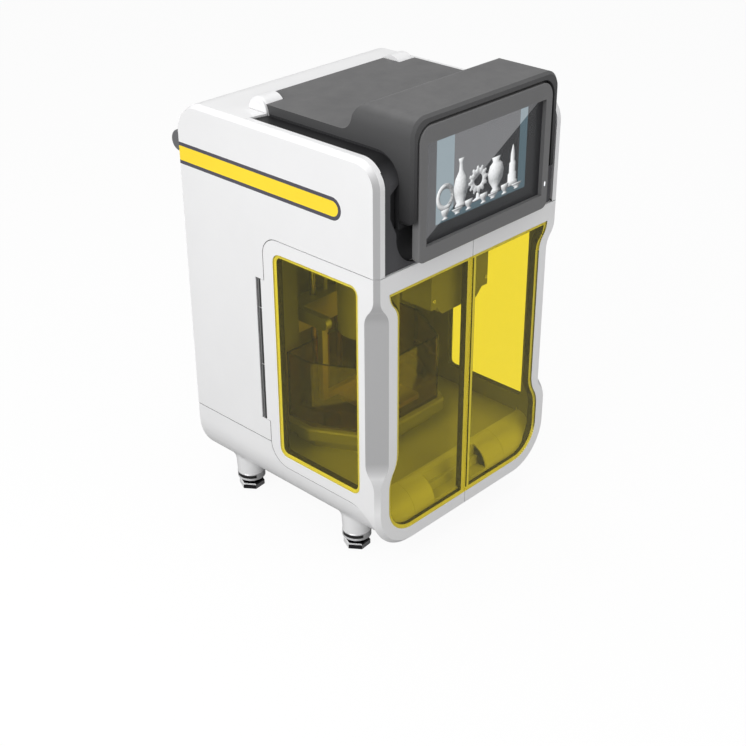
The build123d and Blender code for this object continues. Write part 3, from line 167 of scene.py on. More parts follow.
def wear_effect():
    """Where convex and concave edges are rubbed and catch a painted highlight: 1 on an edge, broken up by noise, and
    0 on open faces.
    """
    tree, ins, outs = effect(
        "Edge wear and highlight",
        [("Width", "Float", 0.0008), ("Amount", "Float", 0.5), ("Breaks per metre", "Float", 60.0)],
        ["Mask"],
    )
    rounded = add(tree, "Bevel", {"Radius": ins.outputs["Width"]}, samples=4).outputs[0]
    true = add(tree, "NewGeometry").outputs["Normal"]
    same = towards(tree, rounded, true)
    edge = spread(tree, same, 0.995, 0.86)
    place = add(tree, "TexCoord").outputs["Object"]
    noise = add(tree, "TexNoise", {"Vector": place, "Scale": ins.outputs["Breaks per metre"], "Detail": 4.0})
    broken = sums(tree, "MULTIPLY", edge, spread(tree, noise.outputs["Fac"], 0.35, 0.62))
    tree.links.new(sums(tree, "MULTIPLY", broken, ins.outputs["Amount"], clamp=True), outs.inputs["Mask"])
    return tree


def dust_effect():
    """A thin film that settles on faces which look up, thicker in patches."""
    tree, ins, outs = effect("Settled dust", [("Amount", "Float", 0.2)], ["Mask"])
    normal = add(tree, "NewGeometry").outputs["Normal"]
    upward = add(tree, "SeparateXYZ", {0: normal}).outputs["Z"]
    place = add(tree, "TexCoord").outputs["Object"]
    noise = add(tree, "TexNoise", {"Vector": place, "Scale": 34.0, "Detail": 5.0, "Roughness": 0.65})
    patches = sums(tree, "MULTIPLY", spread(tree, upward, 0.35, 1.0), spread(tree, noise.outputs["Fac"], 0.25, 0.75))
    tree.links.new(sums(tree, "MULTIPLY", patches, ins.outputs["Amount"], clamp=True), outs.inputs["Mask"])
    return tree


def tone_effect():
    """Painted light: where a finish is paler, as on a lit top, on faces that look up, and on upright faces from a low
    height to a high one. Laid darker instead, it is painted shade.
    """
    tree, ins, outs = effect(
        "Painted top light and shade", [("Low", "Float", 0.7), ("High", "Float", 0.9), ("Sides", "Float", 0.5)], ["Mask"]
    )
    place = add(tree, "TexCoord")
    upward = add(tree, "SeparateXYZ", {0: place.outputs["Normal"]}).outputs["Z"]
    height = add(tree, "SeparateXYZ", {0: place.outputs["Object"]}).outputs["Z"]
    climb = spread(tree, height, ins.outputs["Low"], ins.outputs["High"])
    side = sums(tree, "MULTIPLY", climb, ins.outputs["Sides"])
    tree.links.new(sums(tree, "MAXIMUM", spread(tree, upward, 0.1, 0.85), side), outs.inputs["Mask"])
    return tree


def facet_effect():
    """Painted shade on the flats cut across the front corners: 1 there, less where they turn over the top, 0 at the
    toe.
    """
    tree, ins, outs = effect("Painted facet shade", [("Low", "Float", 0.15), ("High", "Float", 0.25)], ["Mask"])
    place = add(tree, "TexCoord")
    normal = add(tree, "SeparateXYZ", {0: place.outputs["Normal"]})
    across = sums(tree, "ABSOLUTE", normal.outputs["X"], 0.0)
    slanted = sums(tree, "MULTIPLY", spread(tree, across, 0.45, 0.62), spread(tree, across, 0.9, 0.78))
    forward = spread(tree, normal.outputs["Y"], -0.3, -0.68)
    height = add(tree, "SeparateXYZ", {0: place.outputs["Object"]}).outputs["Z"]
    kept = sums(tree, "MULTIPLY", forward, spread(tree, height, ins.outputs["Low"], ins.outputs["High"]))
    tree.links.new(sums(tree, "MULTIPLY", slanted, kept), outs.inputs["Mask"])
    return tree


def polish_effect():
    """Painted reflections: bands of light and dark that polished metal picks up from what is round it, by the way a
    face looks.
    """
    tree, ins, outs = effect("Painted metal reflections", [("Floor", "Float", 0.06)], ["Shine"])
    normal = add(tree, "TexCoord").outputs["Normal"]
    left = towards(tree, normal, (-0.96, 0.28, 0))
    front = towards(tree, normal, (0.24, -0.97, 0))
    half = sums(tree, "MULTIPLY", spread(tree, front, 0.8, 0.97), 0.22)
    upper_left = towards(tree, normal, (-0.75, 0.05, 0.66))
    glint = sums(tree, "MAXIMUM", spread(tree, left, 0.72, 0.94), spread(tree, upper_left, 0.8, 0.95))
    best = sums(tree, "MAXIMUM", glint, half)
    tree.links.new(sums(tree, "MAXIMUM", best, ins.outputs["Floor"]), outs.inputs["Shine"])
    return tree


def inner_effect():
    """Painted shade on faces of the body that look in towards its middle: 1 there, from a low height to a high one.
    """
    tree, ins, outs = effect("Painted inner shade", [("Low", "Float", 0.13), ("High", "Float", 0.63)], ["Mask"])
    place = add(tree, "TexCoord")
    height = add(tree, "SeparateXYZ", {0: place.outputs["Object"]}).outputs["Z"]
    level = add(tree, "VectorMath", {0: place.outputs["Object"], 1: (1, 1, 0)}, operation="MULTIPLY").outputs[0]
    away = towards(tree, level, place.outputs["Normal"])
    inward = spread(tree, away, -0.1, -0.16)
    above = spread(tree, height, ins.outputs["Low"], sums(tree, "ADD", ins.outputs["Low"], 0.002))
    below = spread(tree, height, ins.outputs["High"], sums(tree, "SUBTRACT", ins.outputs["High"], 0.002))
    tree.links.new(sums(tree, "MULTIPLY", inward, sums(tree, "MULTIPLY", above, below)), outs.inputs["Mask"])
    return tree


def gap_effect():
    """Painted shade in seams and corners, from ambient occlusion: 1 deep in them, 0 on open faces."""
    tree, ins, outs = effect("Painted seam shade", [("Reach", "Float", 0.005)], ["Mask"])
    open_share = add(tree, "AmbientOcclusion", {"Distance": ins.outputs["Reach"]}, samples=6).outputs["AO"]
    tree.links.new(spread(tree, open_share, 0.62, 0.25), outs.inputs["Mask"])
    return tree


def level_effect():
    """0 on one side of a level and 1 on the other, across any axis, in the piece's own coordinates."""
    tree, ins, outs = effect(
        "Past a level", [("Axis", "Vector", (0, 1, 0)), ("From", "Float", 0.0), ("To", "Float", 0.001)], ["Mask"]
    )
    place = add(tree, "TexCoord").outputs["Object"]
    along = towards(tree, place, ins.outputs["Axis"])
    tree.links.new(spread(tree, along, ins.outputs["From"], ins.outputs["To"]), outs.inputs["Mask"])
    return tree


def band_effect():
    """A painted dark reflection round the middle of a polished collar, on the side that looks front and left, with
    painted shade on its front.
    """
    tree, ins, outs = effect("Painted collar reflection", [("Low", "Float", 0.0278), ("High", "Float", 0.0345)], ["Mask"])
    place = add(tree, "TexCoord")
    left = towards(tree, place.outputs["Normal"], (-0.92, -0.39, 0))
    front = towards(tree, place.outputs["Normal"], (0.35, -0.94, 0))
    height = add(tree, "SeparateXYZ", {0: place.outputs["Object"]}).outputs["Z"]
    above = spread(tree, height, sums(tree, "SUBTRACT", ins.outputs["Low"], 0.0006), ins.outputs["Low"])
    below = spread(tree, height, sums(tree, "ADD", ins.outputs["High"], 0.0006), ins.outputs["High"])
    turn = spread(tree, left, 0.62, 0.70)
    band = sums(tree, "MULTIPLY", sums(tree, "MULTIPLY", above, below), turn)
    shade = sums(tree, "MULTIPLY", spread(tree, front, 0.3, 0.8), 0.42)
    tree.links.new(sums(tree, "MAXIMUM", band, shade), outs.inputs["Mask"])
    return tree


EFFECTS = {}


def place_effect(tree, name, **values):
    """Puts one of the shared effects into a tree with its own values."""
    makers = {
        "Surface grain": grain_effect, "Edge wear and highlight": wear_effect, "Settled dust": dust_effect,
        "Painted top light and shade": tone_effect, "Painted facet shade": facet_effect, "Painted metal reflections": polish_effect,
        "Painted collar reflection": band_effect, "Painted inner shade": inner_effect, "Painted seam shade": gap_effect, "Past a level": level_effect,
    }
    if name not in EFFECTS:
        EFFECTS[name] = makers[name]()
    made = tree.nodes.new("ShaderNodeGroup")
    made.node_tree = EFFECTS[name]
    for key, value in values.items():
        made.inputs[key.replace("_", " ")].default_value = value
    return made


def blank_material(name):
    """A material with an output node alone."""
    material = bpy.data.materials.new(name)
    material.use_nodes = True
    tree = material.node_tree
    tree.nodes.clear()
    return material, tree, tree.nodes.new("ShaderNodeOutputMaterial")


def lift(colour, by):
    """The colour, lighter or darker by a share."""
    return [min(1.0, max(0.0, c * by)) for c in colour[:3]]


def solid_finish(
    name, colour, rough, grains=900.0, depth=0.02, metallic=0.0, worn=None, wear=0.35, width=0.8,
    uneven=0.03, dust=0.06, coat=0.0, stretch=(1, 1, 1), patches=9.0, specular=0.5, over=(),
):
    """An opaque finish: uneven tone, fine grain in the bump, rubbed edges that are paler both as wear and as a
    painted edge highlight, and a little settled dust.

    depth and width are in millimetres. over lists effects, each with its values and the colour that it lays
    over the first."""
    material, tree, out = blank_material(name)
    grain = place_effect(
        tree, "Surface grain", Grains_per_metre=grains, Patches_per_metre=patches, Stretch=stretch,
    )
    rubbed = place_effect(tree, "Edge wear and highlight", Width=width * MM, Amount=wear)
    film = place_effect(tree, "Settled dust", Amount=dust)
    tone = blend_colours(tree, grain.outputs["Tone"], lift(colour, 1 - uneven), lift(colour, 1 + uneven))
    for kind, values, laid_colour in over:
        laid = place_effect(tree, kind, **values)
        tone = blend_colours(tree, laid.outputs[0], tone, laid_colour)
    # Edges turn paler: partly wear, partly a painted edge highlight
    worn_and_highlit = blend_colours(tree, rubbed.outputs["Mask"], tone, worn or lift(colour, 1.25))
    dusty = blend_colours(tree, film.outputs["Mask"], worn_and_highlit, (0.62, 0.61, 0.58))
    polish = spread(tree, grain.outputs["Tone"], 0.0, 1.0, rough * 0.9, min(1.0, rough * 1.12))
    dulled = sums(tree, "ADD", polish, sums(tree, "MULTIPLY", film.outputs["Mask"], 0.5), clamp=True)
    bump = add(tree, "Bump", {"Strength": 1.0, "Distance": depth * MM, "Height": grain.outputs["Height"]})
    shader = add(
        tree, "BsdfPrincipled",
        {
            "Base Color": dusty, "Roughness": dulled, "Metallic": metallic, "Coat Weight": coat,
            "Specular IOR Level": specular, "Normal": bump.outputs[0],
        },
    )
    tree.links.new(shader.outputs[0], out.inputs["Surface"])
    return material


def clear_finish(name, colour, rough, ior=1.49, smudge=0.03, specular=0.5, rim=0.5):
    """A clear tinted sheet, darker at its edges over rim millimetres. Lamp and bounced light pass it unbent."""
    material, tree, out = blank_material(name)
    grain = place_effect(tree, "Surface grain", Grains_per_metre=60.0, Patches_per_metre=14.0)
    polish = spread(tree, grain.outputs["Tone"], 0.2, 1.0, rough, rough + smudge)
    edge = place_effect(tree, "Edge wear and highlight", Width=rim * MM, Amount=0.9, Breaks_per_metre=3.0)
    tint = blend_colours(tree, edge.outputs["Mask"], colour, lift(colour, 0.06))
    glass = add(
        tree, "BsdfPrincipled",
        {
            "Base Color": tint, "Roughness": polish, "IOR": ior, "Transmission Weight": 1.0,
            "Specular IOR Level": specular,
        },
    )
    once = [math.sqrt(c) for c in colour]
    passing = add(tree, "BsdfTransparent", {"Color": (*once, 1)})
    path = add(tree, "LightPath")
    soft = sums(tree, "MAXIMUM", path.outputs["Is Shadow Ray"], path.outputs["Is Diffuse Ray"])
    mix = add(tree, "MixShader", {0: soft, 1: glass.outputs[0], 2: passing.outputs[0]})
    tree.links.new(mix.outputs[0], out.inputs["Surface"])
    return material


def wear_finish(node_names, material):
    """Gives CAD nodes one finish in place of what they were packed with."""
    for name in node_names:
        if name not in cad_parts:
            raise RuntimeError(f"the frame has no node {name}")
        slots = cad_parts[name].data.materials
        slots.clear()
        slots.append(material)


# Meshes


def turned(rings, sides=36, closed=False):
    """A turned shape about Z, in millimetres. A ring is a radius, a height and, for a polygon, its corners."""
    shape = bmesh.new()
    rows = []
    for radius, height, *corners in rings:
        row = []
        for i in range(sides if radius else 1):
            angle = 2 * math.pi * i / sides
            reach = radius
            if corners:
                half = math.pi / corners[0]
                reach = radius * math.cos(half) / math.cos(angle % (2 * half) - half)
            spot = (reach * math.cos(angle), reach * math.sin(angle), height)
            row.append(shape.verts.new([value * MM for value in spot]))
        rows.append(row)
    if closed:
        rows.append(rows[0])
    for low, high in zip(rows, rows[1:]):
        for i in range(sides):
            corners = (low[i % len(low)], low[(i + 1) % len(low)], high[(i + 1) % len(high)], high[i % len(high)])
            shape.faces.new(list(dict.fromkeys(corners)))
    return shape


def threaded(root, crest, pitch, low, high, starts=1, sides=24):
    """A threaded length about Z, in millimetres."""
    rings = max(4, round((high - low) / pitch * 5))
    shape = bmesh.new()
    rows = []
    for j in range(rings + 1):
        height = low + (high - low) * j / rings
        row = []
        for i in range(sides):
            share = (height / pitch - starts * i / sides) % 1
            reach = root + (crest - root) * min(1, max(0, 2.2 - abs(share - 0.5) * 5.5))
            angle = 2 * math.pi * i / sides
            spot = (reach * math.cos(angle), reach * math.sin(angle), height)
            row.append(shape.verts.new([value * MM for value in spot]))
        rows.append(row)
    for lower, upper in zip(rows, rows[1:]):
        for i in range(sides):
            shape.faces.new((lower[i], lower[(i + 1) % sides], upper[(i + 1) % sides], upper[i]))
    shape.faces.new(list(reversed(rows[0])))
    shape.faces.new(rows[-1])
    return shape


def slab(outline, low, high):
    """A flat piece: a closed outline in X and Z, in millimetres, between two depths along Y."""
    shape = bmesh.new()
    front = [shape.verts.new((x * MM, low * MM, z * MM)) for x, z in outline]
    back = [shape.verts.new((x * MM, high * MM, z * MM)) for x, z in outline]
    shape.faces.new(front)
    shape.faces.new(list(reversed(back)))
    for i in range(len(front)):
        j = (i + 1) % len(front)
        shape.faces.new((front[j], front[i], back[i], back[j]))
    return shape


def facing(place, direction=(0, 0, 1)):
    """Moves a shape to a place in millimetres and points its Z that way."""
    turn = Vector(direction).to_track_quat("Z", "Y").to_matrix().to_4x4()
    return Matrix.Translation([value * MM for value in place]) @ turn


def gather(parts):
    """One shape from pairs of shape and matrix."""
    whole = bmesh.new()
    for shape, matrix in parts:
        step = bpy.data.meshes.new("step")
        shape.to_mesh(step)
        step.transform(matrix)
        whole.from_mesh(step)
        bpy.data.meshes.remove(step)
    return whole


def add_piece(name, shape, material, body, angle=35):
    """Turns a shape into a piece that moves with a body."""
    bmesh.ops.recalc_face_normals(shape, faces=shape.faces)
    mesh = bpy.data.meshes.new(name)
    shape.to_mesh(mesh)
    shape.free()
    mesh.shade_smooth()
    mesh.set_sharp_from_angle(angle=math.radians(angle))
    mesh.materials.append(material)
    piece = bpy.data.objects.new(name, mesh)
    bpy.context.scene.collection.objects.link(piece)
    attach(piece, body)
    return piece


def screw_head(radius, height, socket):
    """A domed head with a hexagon socket, its underside at 0."""
    return turned(
        [
            (0, 0), (radius, 0), (radius, height * 0.45), (radius * 0.86, height * 0.85), (radius * 0.62, height),
            (socket, height, 6), (socket * 0.96, height * 0.35, 6), (0, height * 0.3),
        ]
    )


def pane_outline(node, axis):
    """The outline of a pane's outer face, as points in millimetres along the other level axis and Z."""
    flat = bmesh.new()
    flat.from_mesh(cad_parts[node].data)
    bmesh.ops.remove_doubles(flat, verts=flat.verts, dist=1e-6)
    along = 1 - axis
    outer = max(abs(vert.co[axis]) for vert in flat.verts)
    kept = [face for face in flat.faces if all(abs(abs(vert.co[axis]) - outer) < 2e-5 for vert in face.verts)]
    inside = set(kept)
    edges = [edge for edge in flat.edges if sum(face in inside for face in edge.link_faces) == 1]
    beside = {}
    for edge in edges:
        first, second = edge.verts
        beside.setdefault(first, []).append(second)
        beside.setdefault(second, []).append(first)
    start = edges[0].verts[0]
    path = [start]
    before = None
    while True:
        following = next(vert for vert in beside[path[-1]] if vert is not before)
        if following is start:
            break
        before = path[-1]
        path.append(following)
    outline = [(vert.co[along] / MM, vert.co.z / MM) for vert in path]
    flat.free()
    return outline


def inset_outline(outline, distance_of):
    """The outline moved inwards, each side by what distance_of gives for the level place of its middle."""
    area = sum(a[0] * b[1] - b[0] * a[1] for a, b in zip(outline, outline[1:] + outline[:1]))
    if area < 0:
        outline = outline[::-1]
    lines = []
    for a, b in zip(outline, outline[1:] + outline[:1]):
        run = Vector((b[0] - a[0], b[1] - a[1])).normalized()
        away = Vector((-run.y, run.x))
        distance = distance_of((a[0] + b[0]) / 2)
        lines.append((Vector(a) + away * distance, run))
    moved = []
    for (p, u), (q, v) in zip(lines[-1:] + lines[:-1], lines):
        cross = u.x * v.y - u.y * v.x
        if abs(cross) < 1e-4:
            moved.append(tuple(q))
            continue
        reach = ((q - p).x * v.y - (q - p).y * v.x) / cross
        moved.append(tuple(p + u * reach))
    return moved


def lining(outer, inner, place_of, depths):
    """A thin wall between two outlines. place_of turns an outline point and a depth into a place."""
    shape = bmesh.new()
    rows = []
    for outline, depth in ((outer, depths[0]), (outer, depths[1]), (inner, depths[1]), (inner, depths[0])):
        rows.append([shape.verts.new([value * MM for value in place_of(spot, depth)]) for spot in outline])
    for row, following in zip(rows, rows[1:] + rows[:1]):
        for i in range(len(row)):
            j = (i + 1) % len(row)
            shape.faces.new((row[i], row[j], following[j], following[i]))
    return shape


# What a user may change


def colour_of(name, description, default):
    """A colour property with the usual limits."""
    return FloatVectorProperty(
        name=name, description=description, default=default, subtype="COLOR", size=3, min=0.0, max=1.0
    )


class PrinterColours(bpy.types.PropertyGroup):
    """Colours of the finishes, as linear values."""

    shell: colour_of("Shell", "White body panels and door frames", (0.83, 0.83, 0.835))
    # The facets' colour is painted shade laid on the white shell, not a finish of its own
    facet_shade: colour_of("Facets", "Tone of the flats across the front corners", (0.42, 0.42, 0.425))
    channel: colour_of("Rear channel", "Pale channel behind the hood", (0.50, 0.50, 0.505))
    stripe: colour_of("Stripe", "Yellow inlay on the sides", (0.98, 0.72, 0.03))
    border: colour_of("Stripe border", "Dark edge round the inlay", (0.075, 0.072, 0.095))
    grip: colour_of("Handle", "Rear handle and its posts", (0.13, 0.13, 0.135))
    amber: colour_of("Amber panes", "Tint of a door pane", (0.97, 0.86, 0.17))
    # The hood's two colours are one plastic, lit and shaded: the top colour is painted light, the side colour painted
    # shade
    hood: colour_of("Hood", "Top of the hood shell", (0.11, 0.11, 0.112))
    hood_shaded_side: colour_of("Hood sides", "Lower sides of the hood shell", (0.022, 0.022, 0.023))
    bezel: colour_of("Bezel", "Frame round the screen", (0.165, 0.165, 0.167))
    chamber: colour_of("Chamber", "Painted metal in the chamber", (0.19, 0.19, 0.185))
    chamber_plastic: colour_of("Chamber plastic", "Sill, cover and vat base", (0.47, 0.47, 0.445))
    acrylic: colour_of("Vat", "Tint of the smoky vat walls", (0.62, 0.46, 0.33))
    cast: colour_of("Cast metal", "Blasted aluminium parts", (0.50, 0.50, 0.51))
    dark: colour_of("Inner dark", "Dark parts under the hood", (0.030, 0.030, 0.032))
    steel: colour_of("Bright steel", "Ground rods, pins and screws", (0.56, 0.56, 0.57))
    board: colour_of("Board", "Solder mask of the control board", (0.012, 0.10, 0.035))


class PrinterStudio(bpy.types.PropertyGroup):
    """Camera, floor and lamps."""

    eye: FloatVectorProperty(
        name="Eye", description="Place of the camera", subtype="TRANSLATION", unit="LENGTH",
        default=(-1.7459, -1.6900, 1.6072),
    )
    turn: FloatVectorProperty(
        name="Turn", description="Azimuth, elevation and roll of the camera", subtype="EULER", unit="ROTATION",
        default=(math.radians(-46.335), math.radians(29.277), math.radians(-0.290)),
    )
    lens: FloatProperty(name="Lens", description="Focal length on a 36 mm frame", default=66.2, unit="CAMERA")
    sky: FloatProperty(name="Sky", description="Even light from all round", default=0.55, min=0.0)
    floor_size: FloatProperty(name="Floor", description="Side of the floor", default=12.0, unit="LENGTH")


# Operators


class FinishShell(bpy.types.Operator):
    """Paints the body panels, stripes, rear channel and handle"""

    bl_idname = "printer.finish_shell"
    bl_label = "Shell"

    def execute(self, context):
        hues = context.scene.printer_colours
        # The facet and inner-face layers lay painted shade over the white
        shared = [("Painted facet shade", {}, hues.facet_shade), ("Painted inner shade", {}, (0.12, 0.12, 0.115))]
        body = ["lower_shell", "side_panel_left", "side_panel_right", "rear_cover"]
        for name, nodes, over in (
            # The seam layer lays painted shade in the body's seams
            ("white shell paint with painted shade", body, [*shared, ("Painted seam shade", {}, (0.10, 0.10, 0.10))]),
            ("white door paint with painted shade", ["door_frame_left", "door_frame_right"], shared),
        ):
            white = solid_finish(
                name, hues.shell, 0.34, grains=420, depth=0.006, wear=0.15, worn=(0.88, 0.88, 0.87),
                uneven=0.012, dust=0.015, coat=0.1, over=over,
            )
            wear_finish(nodes, white)
        wear_finish(["tail_channel"], solid_finish("pale channel plastic", hues.channel, 0.5, depth=0.03))
        inlay = solid_finish("yellow inlay", hues.stripe, 0.3, depth=0.008, wear=0.1, uneven=0.02, dust=0.0)
        wear_finish(["stripes"], inlay)
        wear_finish(["stripe_borders"], solid_finish("stripe border", hues.border, 0.4, depth=0.01, wear=0.25))
        grip = solid_finish("handle grip", hues.grip, 0.55, grains=1500, depth=0.05)
        wear_finish(["rear_handle", "handle_posts"], grip)
        black = solid_finish(
            "blackened screws", (0.03, 0.03, 0.031), 0.4, metallic=0.7, wear=0.4, worn=(0.3, 0.3, 0.3)
        )
        head = screw_head(4, 2.2, 2.0)
        places = [(head, facing((x, COVER_SEAT, z), (0, 1, 0))) for x, z in COVER_SCREWS]
        places += [(head, facing((x, POST_SEAT, z), (0, 1, 0))) for x, z in POST_SCREWS]
        add_piece("rear_screws", gather(places), black, "cabinet")
        return {"FINISHED"}


class FinishDoors(bpy.types.Operator):
    """Tints the door panes and finishes the seal and hinges"""

    bl_idname = "printer.finish_doors"
    bl_label = "Doors"

    def execute(self, context):
        hues = context.scene.printer_colours
        wear_finish(
            ["front_pane_left", "front_pane_right", "side_pane_left", "side_pane_right"],
            clear_finish("amber pane", hues.amber, rough=0.015, ior=1.3, specular=0.25),
        )
        wear_finish(["centre_seal"], solid_finish("black rubber", (0.02, 0.02, 0.02), 0.75, depth=0.03, wear=0.2))
        # Painted light: the hinge parts turn paler towards the rear of the slot
        slot_painted_light = ("Past a level", {"From": 0.0255, "To": 0.0275}, (0.20, 0.20, 0.202))
        sleeve = solid_finish("hinge black with painted light", (0.035, 0.035, 0.037), 0.5, wear=0.3, over=(slot_painted_light,), specular=0.3)
        wear_finish(["hinge_brackets"], sleeve)
        wear_finish(
            ["hinge_pins", "hood_pins"],
            solid_finish("ground pins", hues.steel, 0.25, metallic=1.0, stretch=(1, 1, 60), depth=0.01),
        )
        seal = solid_finish("window seal", (0.018, 0.017, 0.014), 0.6, depth=0.02, wear=0.1, dust=0.0, specular=0.2)
        for side, sign in (("left", -1), ("right", 1)):
            self.line_windows(side, sign, seal)
            self.sleeve_hinge(side, sign, sleeve)
        return {"FINISHED"}

    def line_windows(self, side, sign, material):
        """Dark linings on the inner walls of a door's two openings, behind the panes."""
        for wall, axis in (("front", 1), ("side", 0)):
            outline = pane_outline(f"{wall}_pane_{side}", axis)
            at_middle = MIDDLE_LIPS[side] if axis else WINDOW_LIP

            def lip(along, gap, at_middle=at_middle):
                """How far in from the pane's edge the opening's wall is, and a gap more."""
                return gap + (at_middle if abs(along) < 1 else WINDOW_LIP)

            def front_place(spot, depth):
                return spot[0], DOOR_FRONT + depth, spot[1]

            def side_place(spot, depth):
                return sign * (BODY_SIDE - depth), *spot

            outer = inset_outline(outline, lambda along: lip(along, 0.02))
            inner = inset_outline(outline, lambda along: lip(along, 0.6))
            lined = lining(outer, inner, front_place if axis else side_place, (5.1, 17.8))
            add_piece(f"{wall}_lining_{side}", lined, material, f"{side}_door")

    def sleeve_hinge(self, side, sign, material):
        """Dark sleeves round the door's own hinge knuckles and their necks."""
        outer, inner, neck = 5.35, 5.02, -6.9
        turns = [math.radians(a) for a in range(0, 121, 15)]
        outline = [(outer * math.cos(a), outer * math.sin(a)) for a in reversed(turns)]
        outline += [(outer, neck), (inner, neck)]
        outline += [(inner * math.cos(a), inner * math.sin(a)) for a in turns]
        bar = slab(outline, 0, HINGE_BAR_LENGTH)
        upright = Matrix(((sign, 0, 0, 0), (0, 0, 1, 0), (0, 1, 0, 0), (0, 0, 0, 1)))
        x, y = HINGE_AXIS
        places = [(bar, Matrix.Translation((sign * x * MM, y * MM, low * MM)) @ upright) for low in HINGE_BARS]
        add_piece(f"hinge_sleeves_{side}", gather(places), material, f"{side}_door")


class FinishHood(bpy.types.Operator):
    """Finishes the hood, its bezel, the screen glass and the status light"""

    bl_idname = "printer.finish_hood"
    bl_label = "Hood"

    def execute(self, context):
        hues = context.scene.printer_colours
        # Painted shade on the hood's sides and painted light on its top and upper sides
        wear_finish(
            ["hood"],
            solid_finish(
                "hood plastic with painted light and shade", hues.hood_shaded_side, 0.42, grains=1400, depth=0.04, wear=0.25, specular=0.2,
                over=(("Painted top light and shade", {"Low": 0.70, "High": 0.90, "Sides": 0.75}, hues.hood),),
            ),
        )
        wear_finish(
            ["bezel"],
            solid_finish("bezel plastic", hues.bezel, 0.40, grains=1600, depth=0.03, wear=0.2, specular=0.3),
        )
        glass = clear_finish("screen glass", (0.98, 0.99, 1.0), rough=0.01, ior=1.1, smudge=0.02, specular=0.05)
        wear_finish(["screen_glass"], glass)
        light, tree, out = blank_material("status light")
        grain = place_effect(tree, "Surface grain", Grains_per_metre=2500.0)
        glow = blend_colours(tree, grain.outputs["Height"], (0.75, 0.8, 0.85), (1, 1, 1))
        shader = add(
            tree, "BsdfPrincipled",
            {"Base Color": (0.8, 0.8, 0.8, 1), "Roughness": 0.4, "Emission Color": glow, "Emission Strength": 0.8},
        )
        tree.links.new(shader.outputs[0], out.inputs["Surface"])
        wear_finish(["status_light"], light)
        return {"FINISHED"}


